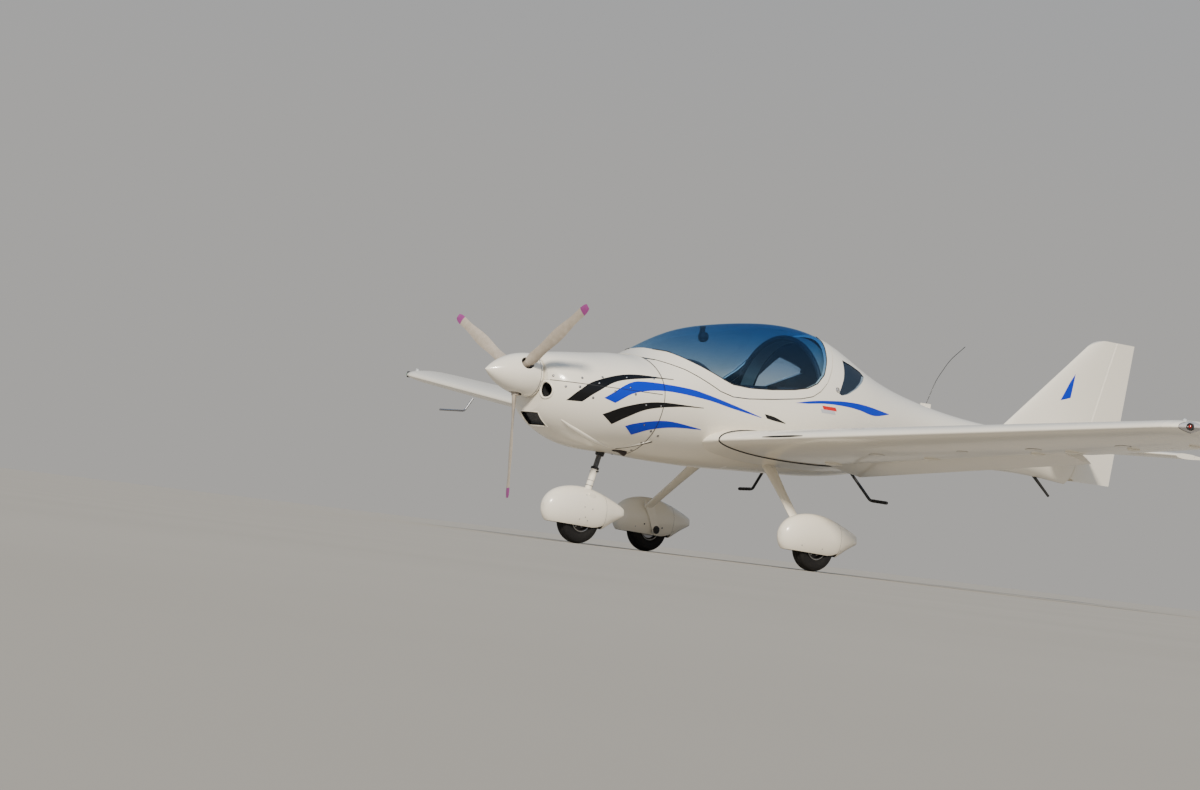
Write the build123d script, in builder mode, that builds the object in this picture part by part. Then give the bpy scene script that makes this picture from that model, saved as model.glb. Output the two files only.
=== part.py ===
from build123d import *
import math
import os

os.makedirs("parts", exist_ok=True)

# ---------------------------------------------------------------------------
# Two-seat low-wing microlight aircraft with fixed tricycle gear.
# Frame: nose towards -Y, port wing towards +X, +Z up, floor at z = 0,
# origin on the floor under the middle of the aircraft.  Millimetres.
# ---------------------------------------------------------------------------
SPAN = 9000.0
AXIS_Z = 1145.0            # propeller axis above the floor
SKIN = 20.0                # sandwich wall of the fuselage
COWL_SKIN = 6.0
GLASS = 5.0
FRAME_SKIN = 24.0          # canopy frame depth
GAP = 6.0                  # between moving pieces and what they close on

# fuselage sections; z values are relative to the propeller axis
STATIONS = [
    # y,     half_width, z_top, z_mid, z_bottom
    (-2790,  205,  140,  -50, -250),
    (-2735,  285,  172,  -60, -325),
    (-2640,  350,  190,  -68, -385),
    (-2500,  402,  206,  -72, -440),
    (-2300,  448,  226,  -70, -470),
    (-2120,  480,  246,  -60, -472),
    (-1965,  504,  260,  -50, -476),
    (-1850,  520,  308,  -40, -482),
    (-1690,  542,  400,  -28, -488),
    (-1470,  565,  503,  -15, -490),
    (-1240,  580,  563,   -5, -489),
    (-900,   588,  620,    0, -476),
    (-520,   580,  643,    0, -461),
    (-200,   548,  586,    0, -446),
    (100,    492,  452,    0, -410),
    (410,    415,  336,   -5, -352),
    (760,    328,  254,  -15, -288),
    (1150,   255,  192,  -25, -230),
    (1600,   192,  152,  -30, -200),
    (2100,   125,  132,  -35, -192),
    (2500,    62,  112,  -45, -215),
    (2700,    34,  104,  -50, -222),
]

# side outlines (y, z relative to the axis)
CANOPY_SEAM = [
    (-1956, 340), (-1956, 242), (-1905, 236), (-1760, 188), (-1610, 118), (-1500, 66), (-1390, 40),
    (-1250, 42), (-1020, 66), (-757, 101), (-640, 130), (-560, 176), (-481, 248), (-408, 350),
    (-356, 433), (-292, 516), (-235, 575), (-180, 640),
]
GLASS_EDGE = [
    (-1826, 420), (-1826, 316), (-1784, 308), (-1751, 286), (-1691, 252), (-1566, 195), (-1457, 148),
    (-1390, 126), (-1239, 118), (-1033, 131), (-822, 156), (-691, 182), (-587, 228), (-504, 300),
    (-435, 406), (-389, 488), (-347, 545), (-300, 600), (-265, 660),
]
REAR_WINDOW = [
    # y, z : quarter window behind the canopy
    (-222, 442), (-100, 410), (-10, 378), (14, 344), (-40, 306), (-146, 242), (-262, 187),
    (-336, 168), (-366, 180), (-334, 232), (-288, 300), (-256, 364),
]

# wing: (x, leading edge y, leading edge z rel. axis, chord)
WING_ROOT_X, WING_CORNER_X, WING_TIP_X = 596.0, 4230.0, 4500.0
SWEEP, DIHEDRAL = 0.170, 0.095
LE_Y0, LE_Z0 = -1500.0, -285.0      # at x = 580
TE_Y0, TE_SLOPE = -120.0, 0.0463
INCIDENCE = 2.0                     # degrees, nose up
WING_UPPER, WING_LOWER, WING_NOSE = 0.083, 0.047, 0.36   # of chord
HINGE_FRACTION = 0.735
FLAP_X = (640.0, 2880.0)
AILERON_X = (2905.0, 4150.0)
FLAP_DROOP = 13.0                   # degrees, as the aircraft is shown

# propeller
PROP_Y = -2920.0
PROP_R = 885.0
BLADE_ANGLES = (-64.06, 55.94, 175.94)     # from straight up towards +X
SPINNER_TIP_Y, SPINNER_BASE_Y, SPINNER_R = -3200.0, -2802.0, 155.0

# wheels
TYRE_R, TYRE_W, RIM_R = 170.0, 110.0, 84.0
WHEEL_Z = TYRE_R
MAIN_X, MAIN_Y = 966.0, -816.0
NOSE_Y = -2225.0
AXLE_R = 10.0
FIT = 0.05                                  # running fit, radial


def z_abs(z):
    return AXIS_Z + z


def wing_le(x):
    return LE_Y0 + SWEEP * (x - 580), z_abs(LE_Z0 + DIHEDRAL * (x - 580))


def wing_chord(x):
    return TE_Y0 + TE_SLOPE * (x - 580) - wing_le(x)[0]


def foil(chord, nose, upper, lower, end_upper, end_lower):
    """Closed section: two quarter-ellipses ahead, two tangent arcs behind, flat trailing edge."""
    with BuildSketch() as section:
        with BuildLine():
            EllipticalCenterArc((nose, 0), nose, upper, start_angle=90, arc_size=90)
            EllipticalCenterArc((nose, 0), nose, lower, start_angle=180, arc_size=90)
            TangentArc((nose, -lower), (chord, -end_lower), tangent=(1, 0))
            Line((chord, -end_lower), (chord, end_upper))
            TangentArc((nose, upper), (chord, end_upper), tangent=(1, 0))
        make_face()
    return section.sketch


def body_form(shrink, first, last):
    """Loft of the fuselage sections, every one drawn inwards by shrink."""
    with BuildPart() as form:
        for y, half_width, z_top, z_mid, z_bottom in STATIONS[first:last]:
            plane = Plane(origin=(0, y, z_abs(z_mid)), x_dir=(1, 0, 0), z_dir=(0, -1, 0))
            with BuildSketch(plane):
                with BuildLine():
                    a = half_width - shrink
                    up = z_top - z_mid - shrink
                    down = z_mid - z_bottom - shrink
                    EllipticalCenterArc((0, 0), a, up, start_angle=0, arc_size=90)
                    EllipticalCenterArc((0, 0), a, up, start_angle=90, arc_size=90)
                    EllipticalCenterArc((0, 0), a, down, start_angle=180, arc_size=90)
                    EllipticalCenterArc((0, 0), a, down, start_angle=270, arc_size=90)
                make_face()
        loft()
    return form.part


def side_prism(points, top, x_from, x_to):
    """Region above a side outline, extruded across the aircraft."""
    outline = [(y, z_abs(z)) for y, z in points]
    outline += [(outline[-1][0], z_abs(top)), (outline[0][0], z_abs(top))]
    with BuildPart() as prism:
        with BuildSketch(Plane.YZ.offset(x_from)):
            Polygon(*outline, align=None)
        extrude(amount=x_to - x_from)
    return prism.part


def tube(points, radii, radius):
    """Round tube along straight runs with arcs at the corners."""
    with BuildPart() as run:
        with BuildLine() as path:
            if len(points) > 2:
                FilletPolyline(*points, radius=radii)
            else:
                Line(*points)
        start = path.line @ 0
        with BuildSketch(Plane(origin=start, z_dir=path.line % 0)):
            Circle(radius)
        sweep(transition=Transition.ROUND)
    return run.part


def cone_on(a, b, r_a, r_b):
    """Cone between two points of an axis."""
    direction = Vector(*b) - Vector(*a)
    with BuildPart() as c:
        with BuildSketch(Plane(origin=a, z_dir=direction)):
            Circle(r_a)
        with BuildSketch(Plane(origin=b, z_dir=direction)):
            Circle(r_b)
        loft(ruled=True)
    return c.part


def save(block, name):
    block.part.label = name
    export_step(block.part, f"parts/{name}.step")


# ---------------------------------------------------------------------------
# fuselage, cowling, canopy
# ---------------------------------------------------------------------------
N = len(STATIONS)
outer = body_form(0, 0, N)
inner = body_form(SKIN, 0, N)
inner_cowl = body_form(COWL_SKIN, 0, 8)
inner_glass = body_form(GLASS, 5, 17)
inner_frame = body_form(FRAME_SKIN, 5, 17)

FIREWALL_Y = -1958.0
canopy_prism = side_prism(CANOPY_SEAM, 900, -800, 800)
glass_prism = side_prism(GLASS_EDGE, 900, -800, 800)


def offset_outline(points, distance):
    """Outline moved outwards, away from the region above it."""
    moved = []
    for i, (y, z) in enumerate(points):
        y0, z0 = points[max(i - 1, 0)]
        y1, z1 = points[min(i + 1, len(points) - 1)]
        dy, dz = y1 - y0, z1 - z0
        size = math.hypot(dy, dz)
        moved.append((y + dz / size * distance, z - dy / size * distance))
    return moved


seam_wide = [(-2100, 340), (-2100, 235)] + offset_outline(CANOPY_SEAM, GAP + 1)[2:]
canopy_cut = side_prism(seam_wide, 900, -800, 800)
with BuildPart() as window_bar:
    with BuildSketch(Plane.YZ.offset(-700)):
        Polygon(*[(y, z_abs(z)) for y, z in REAR_WINDOW], align=None)
    extrude(amount=1400)

# tail surfaces, needed for the cuts in the shell
RUDDER_SLOPE = 0.305


def rudder_hinge_y(z):
    return 2857 + RUDDER_SLOPE * (z - 522)


RUDDER_LOW, RUDDER_TOP, FIN_LOW = -190.0, 962.0, 40.0


def rudder_nose(z):
    return 44 - (z + 190) * (22 / 1152)


def fin_le(z):
    return 2096 + 1.143 * (z - 388)


def rudder_point(z):
    return (0, rudder_hinge_y(z), z_abs(z))


with BuildPart() as fin_form:
    for z, half in ((FIN_LOW, 58), (RUDDER_TOP, 25)):
        chord = rudder_hinge_y(z) - fin_le(z)
        plane = Plane(origin=(0, fin_le(z), z_abs(z)), x_dir=(0, 1, 0), z_dir=(0, 0, 1))
        with BuildSketch(plane):
            add(foil(chord, 0.5 * chord, half, half, rudder_nose(z), rudder_nose(z)))
    loft(ruled=True)
    # rounded upper front corner
    with BuildSketch(Plane.YZ.offset(-200)):
        with BuildLine():
            corner = (fin_le(RUDDER_TOP), z_abs(RUDDER_TOP))
            below = (fin_le(RUDDER_TOP - 66), z_abs(RUDDER_TOP - 66))
            behind = (fin_le(RUDDER_TOP) + 90, z_abs(RUDDER_TOP))
            ThreePointArc(below, (corner[0] + 4, corner[1] - 24), behind)
            Line(behind, (corner[0] - 100, corner[1] + 1))
            Line((corner[0] - 100, corner[1] + 1), below)
        make_face()
    extrude(amount=400, mode=Mode.SUBTRACT)

rudder_clear = cone_on(rudder_point(-320), rudder_point(1100),
                       rudder_nose(-320) + GAP, rudder_nose(1100) + GAP)

with BuildPart() as behind_rudder_hinge:
    with BuildSketch(Plane.YZ.offset(-400)):
        Polygon(*[(rudder_hinge_y(z) + dy, z_abs(z)) for z, dy in
                  ((-400, 0), (1100, 0), (1100, 900), (-400, 900))], align=None)
    extrude(amount=800)

# tailplane
TP_Z = 63.0
TP_TIP_X = 1450.0
ELEVATOR_HINGE_Y = 2520.0


def tp_le(x):
    return 2150 + 0.105 * x


TP_END_HALF = (22.0, 15.0)     # half thickness at the hinge: centre, tip

with BuildPart() as tail_form:
    for x in (-TP_TIP_X, 0, TP_TIP_X):
        k = abs(x) / TP_TIP_X
        chord = ELEVATOR_HINGE_Y - tp_le(abs(x))
        end = TP_END_HALF[0] + (TP_END_HALF[1] - TP_END_HALF[0]) * k
        plane = Plane(origin=(x, tp_le(abs(x)), z_abs(TP_Z)), x_dir=(0, 1, 0), z_dir=(1, 0, 0))
        with BuildSketch(plane):
            add(foil(chord, 0.45 * chord, 32 - 11 * k, 32 - 11 * k, end, end))
    loft(ruled=True)

EL_X = (95.0, 1440.0)


def elevator_nose(x):
    return TP_END_HALF[0] + (TP_END_HALF[1] - TP_END_HALF[0]) * abs(x) / TP_TIP_X


elevator_clear_left = cone_on((0, ELEVATOR_HINGE_Y, z_abs(TP_Z)), (1500, ELEVATOR_HINGE_Y, z_abs(TP_Z)),
                              elevator_nose(0) + GAP, elevator_nose(1500) + GAP)
elevator_clear_right = cone_on((0, ELEVATOR_HINGE_Y, z_abs(TP_Z)), (-1500, ELEVATOR_HINGE_Y, z_abs(TP_Z)),
                               elevator_nose(0) + GAP, elevator_nose(1500) + GAP)

with BuildPart() as tailplane:
    add(tail_form.part)
    add(elevator_clear_left, mode=Mode.SUBTRACT)
    add(elevator_clear_right, mode=Mode.SUBTRACT)
save(tailplane, "tailplane")

# wing form
HINGE_TILT = math.radians(INCIDENCE)


def wing_plane(x):
    le_y, le_z = wing_le(x)
    return Plane(origin=(x, le_y, le_z),
                 x_dir=(0, math.cos(HINGE_TILT), -math.sin(HINGE_TILT)), z_dir=(1, 0, 0))


TIP_ANGLES = (0, 14, 28, 42, 55, 67, 77, 85)    # degrees round the tip's edge
TIP_LE_BACK, TIP_TE_FORE = 190.0, 120.0

with BuildPart() as wing_whole:
    for x in (WING_ROOT_X,):
        c = wing_chord(x)
        with BuildSketch(wing_plane(x)):
            add(foil(c, WING_NOSE * c, WING_UPPER * c, WING_LOWER * c, 3, 3))
    for angle in TIP_ANGLES:
        t = math.radians(angle)
        x = WING_CORNER_X + (WING_TIP_X - WING_CORNER_X) * math.sin(t) / math.sin(math.radians(85))
        p = wing_plane(x)
        full = wing_chord(WING_CORNER_X)
        back = TIP_LE_BACK * (1 - math.cos(t))
        c = full - back - TIP_TE_FORE * (1 - math.cos(t))
        thick = math.cos(t) ** 0.85
        le_y = wing_le(WING_CORNER_X)[0] + SWEEP * (x - WING_CORNER_X) * 0.8 + back
        plane = Plane(origin=(x, le_y, wing_le(x)[1]), x_dir=p.x_dir, z_dir=p.z_dir)
        with BuildSketch(plane):
            add(foil(c, WING_NOSE * c, WING_UPPER * full * thick, WING_LOWER * full * thick, 3 * thick, 3 * thick))
    loft(ruled=True)


def hinge_at(x):
    """Middle of the wing's thickness at the hinge line, and half that thickness."""
    c = wing_chord(x)
    s = HINGE_FRACTION * c
    run = c - WING_NOSE * c

    def arc_height(top):
        drop = top - 3
        radius = (run * run + drop * drop) / (2 * drop)
        d = s - WING_NOSE * c
        return top - (radius - math.sqrt(radius * radius - d * d))

    up, low = arc_height(WING_UPPER * c), arc_height(WING_LOWER * c)
    mid, half = (up - low) / 2, (up + low) / 2
    le_y, le_z = wing_le(x)
    y = le_y + s * math.cos(HINGE_TILT) + mid * math.sin(HINGE_TILT)
    z = le_z - s * math.sin(HINGE_TILT) + mid * math.cos(HINGE_TILT)
    return (x, y, z), half


HINGE_A, HALF_A = hinge_at(FLAP_X[0])
HINGE_B, HALF_B = hinge_at(AILERON_X[1])
AXIS_DIR = (Vector(*HINGE_B) - Vector(*HINGE_A)).normalized()
AXIS_LEN = (Vector(*HINGE_B) - Vector(*HINGE_A)).length


def on_hinge(x):
    t = (x - HINGE_A[0]) / (HINGE_B[0] - HINGE_A[0])
    p = Vector(*HINGE_A) + AXIS_DIR * (AXIS_LEN * t)
    return (p.X, p.Y, p.Z), HALF_A + (HALF_B - HALF_A) * t


def hinge_cone(x0, x1, extra):
    (a, ra), (b, rb) = on_hinge(x0), on_hinge(x1)
    return cone_on(a, b, ra + extra, rb + extra)


def behind_hinge(x0, x1, shift):
    """Block behind the hinge line between two end faces square to it."""
    a, _ = on_hinge(x0)
    b, _ = on_hinge(x1)
    length = (Vector(*b) - Vector(*a)).length
    with BuildPart() as block:
        # local x runs aft, local y up, extruded along the hinge
        with BuildSketch(Plane(origin=a, x_dir=Vector(0, 1, 0) - AXIS_DIR * AXIS_DIR.Y, z_dir=AXIS_DIR)):
            with Locations((shift + 300, 0)):
                Rectangle(600, 400)
        extrude(amount=length)
    return block.part


LAMP_BOX = (4395.0, 4520.0, -860.0, -690.0)     # x0, x1, y0, y1

surfaces = {}
for label, (x0, x1) in (("flap", FLAP_X), ("aileron", AILERON_X)):
    surfaces[label + "_cut"] = (behind_hinge(x0 - GAP, x1 + GAP, 0), hinge_cone(x0 - GAP, x1 + GAP, GAP))
    with BuildPart() as surface:
        add(wing_whole.part)
        add(behind_hinge(x0, x1, 0), mode=Mode.INTERSECT)
        add(hinge_cone(x0, x1, -0.3))
    surfaces[label] = surface.part

with BuildPart() as left_wing:
    add(wing_whole.part)
    for label in ("flap", "aileron"):
        for cutter in surfaces[label + "_cut"]:
            add(cutter, mode=Mode.SUBTRACT)
    with Locations(((LAMP_BOX[0] + LAMP_BOX[1]) / 2, (LAMP_BOX[2] + LAMP_BOX[3]) / 2, wing_le(4450)[1])):
        Box(LAMP_BOX[1] - LAMP_BOX[0], LAMP_BOX[3] - LAMP_BOX[2], 300, mode=Mode.SUBTRACT)
    # tie-down eye bore, vertical, ahead of the aileron
    with Locations((2900, wing_le(2900)[0] + 0.30 * wing_chord(2900), wing_le(2900)[1] - 60)):
        Cylinder(5, 90, mode=Mode.SUBTRACT)
save(left_wing, "left_wing")
with BuildPart() as right_wing:
    add(left_wing.part)
    mirror(about=Plane.YZ, mode=Mode.REPLACE)
save(right_wing, "right_wing")

with BuildPart() as left_nav_light:
    add(wing_whole.part)
    with Locations(((LAMP_BOX[0] + LAMP_BOX[1]) / 2, (LAMP_BOX[2] + LAMP_BOX[3]) / 2, wing_le(4450)[1])):
        Box(LAMP_BOX[1] - LAMP_BOX[0], LAMP_BOX[3] - LAMP_BOX[2], 300, mode=Mode.INTERSECT)
save(left_nav_light, "left_nav_light")
with BuildPart() as right_nav_light:
    add(left_nav_light.part)
    mirror(about=Plane.YZ, mode=Mode.REPLACE)
save(right_nav_light, "right_nav_light")

hinge_axis = Axis(HINGE_A, (AXIS_DIR.X, AXIS_DIR.Y, AXIS_DIR.Z))
drooped = surfaces["flap"].rotate(hinge_axis, -FLAP_DROOP)
for side, label, solid in (("left", "flap", drooped), ("left", "aileron", surfaces["aileron"])):
    with BuildPart() as left_surface:
        add(solid)
    save(left_surface, f"left_{label}")
    with BuildPart() as right_surface:
        add(solid)
        mirror(about=Plane.YZ, mode=Mode.REPLACE)
    save(right_surface, f"right_{label}")

# main legs: oval spring legs out of the belly, then a foot down to the axle
FOOT_X, FOOT_T = 855.0, 14.0
LEG = [
    # x, y, z above the floor, half chord, half thickness
    (280, -816, z_abs(-326), 70, 24),
    (600, -866, z_abs(-591), 46, 18),
    (893, -912, z_abs(-833), 40, 14),
]
with BuildPart() as leg_form:
    for x, y, z, half_chord, half_thick in LEG:
        with BuildSketch(Plane(origin=(x, y, z), x_dir=(0, 1, 0), z_dir=(0.765, -0.12, -0.633))):
            Ellipse(half_chord, half_thick)
    loft(ruled=True)
    with Locations((FOOT_X + FOOT_T / 2 + 100, -900, 300)):
        Box(200, 400, 400, mode=Mode.SUBTRACT)

# wing root fairing: a stub a little thicker than the wing, trimmed by the fuselage
with BuildPart() as root_form:
    for x, grow, fore, aft in ((380, 22, 40, 60), (WING_ROOT_X - 2, 3, 6, 4)):
        c = wing_chord(WING_ROOT_X) + fore + aft
        p = wing_plane(x)
        le_y, le_z = wing_le(WING_ROOT_X)
        plane = Plane(origin=(x, le_y - fore, wing_le(x)[1]), x_dir=p.x_dir, z_dir=p.z_dir)
        with BuildSketch(plane):
            add(foil(c, WING_NOSE * c, WING_UPPER * c + grow, WING_LOWER * c + grow, 6 + grow / 2, 6 + grow / 2))
    loft(ruled=True)
with BuildPart() as left_wing_root:
    add(root_form.part)
    add(outer, mode=Mode.SUBTRACT)
    add(leg_form.part, mode=Mode.SUBTRACT)
save(left_wing_root, "left_wing_root")
with BuildPart() as right_wing_root:
    add(left_wing_root.part)
    mirror(about=Plane.YZ, mode=Mode.REPLACE)
save(right_wing_root, "right_wing_root")

# vertical fin on top of the tail cone
with BuildPart() as vertical_fin:
    add(fin_form.part)
    add(outer, mode=Mode.SUBTRACT)
    add(rudder_clear, mode=Mode.SUBTRACT)
    add(tail_form.part, mode=Mode.SUBTRACT)
    with Locations(Location((0, ELEVATOR_HINGE_Y, z_abs(TP_Z)), (0, 90, 0))):
        Cylinder(elevator_nose(0) + GAP, 300, mode=Mode.SUBTRACT)
save(vertical_fin, "vertical_fin")

with BuildPart() as rudder:
    for z, reach in ((RUDDER_LOW, 0), (RUDDER_TOP, 0)):
        te_y = 3088 + (3203 - 3088) * (z + 172) / (966 + 172)
        r = rudder_nose(z)
        with BuildSketch(Plane.XY.offset(z_abs(z))):
            with BuildLine():
                Polyline((r, rudder_hinge_y(z)), (3, te_y), (-3, te_y), (-r, rudder_hinge_y(z)), close=True)
            make_face()
    loft(ruled=True)
    add(cone_on(rudder_point(RUDDER_LOW + 12), rudder_point(RUDDER_TOP - 7),
                rudder_nose(RUDDER_LOW) - 0.5, rudder_nose(RUDDER_TOP) - 0.5))
save(rudder, "rudder")

# elevator: two halves on a torque tube
with BuildPart() as elevator_half:
    for x, reach in ((EL_X[0], 2722), (EL_X[1] - 160, 2716), (EL_X[1], 2690)):
        r = elevator_nose(x)
        with BuildSketch(Plane(origin=(x, ELEVATOR_HINGE_Y, z_abs(TP_Z)), x_dir=(0, 1, 0), z_dir=(1, 0, 0))):
            with BuildLine():
                Polyline((0, r), (reach - ELEVATOR_HINGE_Y, 2.5), (reach - ELEVATOR_HINGE_Y, -2.5), (0, -r),
                         close=True)
            make_face()
    loft(ruled=True)
    add(cone_on((EL_X[0], ELEVATOR_HINGE_Y, z_abs(TP_Z)), (EL_X[1], ELEVATOR_HINGE_Y, z_abs(TP_Z)),
                elevator_nose(EL_X[0]), elevator_nose(EL_X[1])))
TORQUE_R = 12.0
with BuildPart() as elevator:
    add(elevator_half.part)
    mirror(elevator_half.part, about=Plane.YZ)
    with Locations(Location((0, ELEVATOR_HINGE_Y, z_abs(TP_Z)), (0, 90, 0))):
        Cylinder(TORQUE_R, 2 * EL_X[0] + 40)
save(elevator, "elevator")

# fuselage shell: open at the firewall, closed at the tail post
with BuildPart() as fuselage_shell:
    add(outer)
    add(inner, mode=Mode.SUBTRACT)
    with Locations((0, FIREWALL_Y - 7 - 600, AXIS_Z)):
        Box(1600, 1200, 1600, mode=Mode.SUBTRACT)
    add(canopy_cut, mode=Mode.SUBTRACT)
    add(window_bar.part, mode=Mode.SUBTRACT)
    add(behind_rudder_hinge.part, mode=Mode.SUBTRACT)
    add(rudder_clear, mode=Mode.SUBTRACT)
    add(tail_form.part, mode=Mode.SUBTRACT)
    with Locations(Location((0, ELEVATOR_HINGE_Y, z_abs(TP_Z)), (0, 90, 0))):
        Cylinder(elevator_nose(0) + GAP, 300, mode=Mode.SUBTRACT)
save(fuselage_shell, "fuselage_shell")

# quarter windows fill their openings
for side, sign in (("left", 1), ("right", -1)):
    with BuildPart() as rear_window:
        add(outer)
        add(inner_glass, mode=Mode.SUBTRACT)
        add(window_bar.part, mode=Mode.INTERSECT)
        with Locations((-sign * 800, 0, AXIS_Z)):
            Box(1600, 3000, 3000, mode=Mode.SUBTRACT)
    save(rear_window, f"{side}_rear_window")

# cowling in two halves
COWL_SPLIT = z_abs(-20)
HINGE_NOTCH = (124.0, 34.0)
EXHAUST = [(150, -2230, z_abs(-330)), (150, -2130, z_abs(-408)), (150, -1990, z_abs(-462))]
CANOPY_AXIS_Y, CANOPY_AXIS_Z = -1985.0, z_abs(242)
with BuildPart() as cowl_ring:
    add(outer)
    add(inner_cowl, mode=Mode.SUBTRACT)
    with Locations((0, FIREWALL_Y - 8 + 3000, AXIS_Z)):
        Box(2000, 6000, 2600, mode=Mode.SUBTRACT)
    # front wall with its opening for the shaft
with BuildPart() as cowl_front:
    add(outer)
    with Locations((0, -2790 + 6 + 3000, AXIS_Z)):
        Box(2000, 6000, 2600, mode=Mode.SUBTRACT)
with BuildPart() as cowl_whole:
    add(cowl_ring.part)
    add(cowl_front.part)
    with Locations(Location((0, -2780, AXIS_Z), (90, 0, 0))):
        Cylinder(70, 60, mode=Mode.SUBTRACT)
    # two round inlets and the chin intake
    for x in (-186, 186):
        with Locations(Location((x, -2740, z_abs(-92)), (90, 0, 0))):
            Cylinder(52, 160, mode=Mode.SUBTRACT)
    with Locations((5, -2720, z_abs(-300))):
        Box(200, 180, 84, mode=Mode.SUBTRACT)
    # way for the exhaust
    add(tube(EXHAUST, [90], 34), mode=Mode.SUBTRACT)
    # way for the nose leg
    with Locations(Location((0, -2094, z_abs(-470)), (-14.5, 0, 0))):
        Cylinder(30, 160, mode=Mode.SUBTRACT)
    # notch for the canopy hinge
    with Locations((0, FIREWALL_Y - 8 - HINGE_NOTCH[1] / 2, CANOPY_AXIS_Z + 8)):
        Box(HINGE_NOTCH[0], HINGE_NOTCH[1] + 8, 80, mode=Mode.SUBTRACT)
with BuildPart() as upper_cowling:
    add(cowl_whole.part)
    with Locations((0, -2400, COWL_SPLIT - 500)):
        Box(2000, 2000, 1000, mode=Mode.SUBTRACT)
save(upper_cowling, "upper_cowling")
with BuildPart() as lower_cowling:
    add(cowl_whole.part)
    with Locations((0, -2400, COWL_SPLIT + 500 - 1)):
        Box(2000, 2000, 1000, mode=Mode.SUBTRACT)
save(lower_cowling, "lower_cowling")

# firewall closes the cabin's front, inside the shell
with BuildPart() as firewall:
    add(inner)
    with Locations((0, FIREWALL_Y + 6 + 2500, AXIS_Z)):
        Box(2000, 5000, 2000, mode=Mode.SUBTRACT)
    with Locations((0, FIREWALL_Y - 8 - 2500, AXIS_Z)):
        Box(2000, 5000, 2000, mode=Mode.SUBTRACT)
    with Locations((0, FIREWALL_Y, z_abs(225 + 200))):
        Box(2000, 100, 400, mode=Mode.SUBTRACT)
save(firewall, "firewall")

ENGINE = (480.0, 500.0, 330.0)      # across, along, high
ENGINE_AT = (0.0, -2326.0, z_abs(-70))
with BuildPart() as engine_block:
    with Locations(ENGINE_AT):
        Box(*ENGINE)
    with Locations((0, (ENGINE_AT[1] + ENGINE[1] / 2 + FIREWALL_Y - 8) / 2, z_abs(-70))):
        Box(300, FIREWALL_Y - 8 - ENGINE_AT[1] - ENGINE[1] / 2, 200)
    with Locations(Location((0, (-2850 - 2576) / 2, AXIS_Z), (90, 0, 0))):
        Cylinder(25, 2850 - 2576)
    chamfer(engine_block.edges().filter_by(Axis.Y).group_by(Axis.Z)[-1], 1)
save(engine_block, "engine_block")

# exhaust stub
with BuildPart() as exhaust_pipe:
    add(tube(EXHAUST, [90], 22))
    with Locations(Location(EXHAUST[2], (90 - 20.9, 0, 0))):
        Cylinder(18, 120, mode=Mode.SUBTRACT)
save(exhaust_pipe, "exhaust_pipe")

# canopy frame and glass
with BuildPart() as canopy_frame:
    add(outer)
    add(inner_frame, mode=Mode.SUBTRACT)
    add(canopy_prism, mode=Mode.INTERSECT)
    add(glass_prism, mode=Mode.SUBTRACT)
save(canopy_frame, "canopy_frame")
with BuildPart() as canopy_glass:
    add(outer)
    add(inner_glass, mode=Mode.SUBTRACT)
    add(glass_prism, mode=Mode.INTERSECT)
save(canopy_glass, "canopy_glass")

# ---------------------------------------------------------------------------
# propeller
# ---------------------------------------------------------------------------
HUB_R, SHANK_R = 62.0, 34.0
with BuildPart() as blades:
    with Locations(Location((0, PROP_Y, AXIS_Z), (90, 0, 0))):
        Cylinder(HUB_R, 96)
    with Locations(Location((0, -2880, AXIS_Z), (90, 0, 0))):
        Cylinder(25 + FIT, 86, mode=Mode.SUBTRACT)
BLADE = [
    # radius, chord, thickness, pitch degrees
    (150, 60, 34, 46),
    (260, 78, 22, 36),
    (430, 84, 16, 27),
    (620, 78, 12, 21),
    (790, 66, 8, 17),
    (PROP_R - 17, 54, 6, 15),
    (PROP_R, 40, 4, 15),
]
with BuildPart() as one_blade:
    for radius, chord, thick, pitch in BLADE:
        p = math.radians(pitch)
        plane = Plane(origin=(0, 0, radius), x_dir=(-math.cos(p), -math.sin(p), 0), z_dir=(0, 0, 1))
        with BuildSketch(plane):
            with BuildLine():
                ThreePointArc((-chord / 2, 0), (0, thick * 0.72), (chord / 2, 0))
                ThreePointArc((chord / 2, 0), (0, -thick * 0.28), (-chord / 2, 0))
            make_face()
    loft()
    with Locations((0, 0, 95)):
        Cylinder(SHANK_R - 6, 125)
with BuildPart() as propeller_blades:
    add(blades.part)
    for angle in BLADE_ANGLES:
        add(one_blade.part.rotate(Axis.Y, angle).translate((0, PROP_Y, AXIS_Z)))
save(propeller_blades, "propeller_blades")

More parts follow.
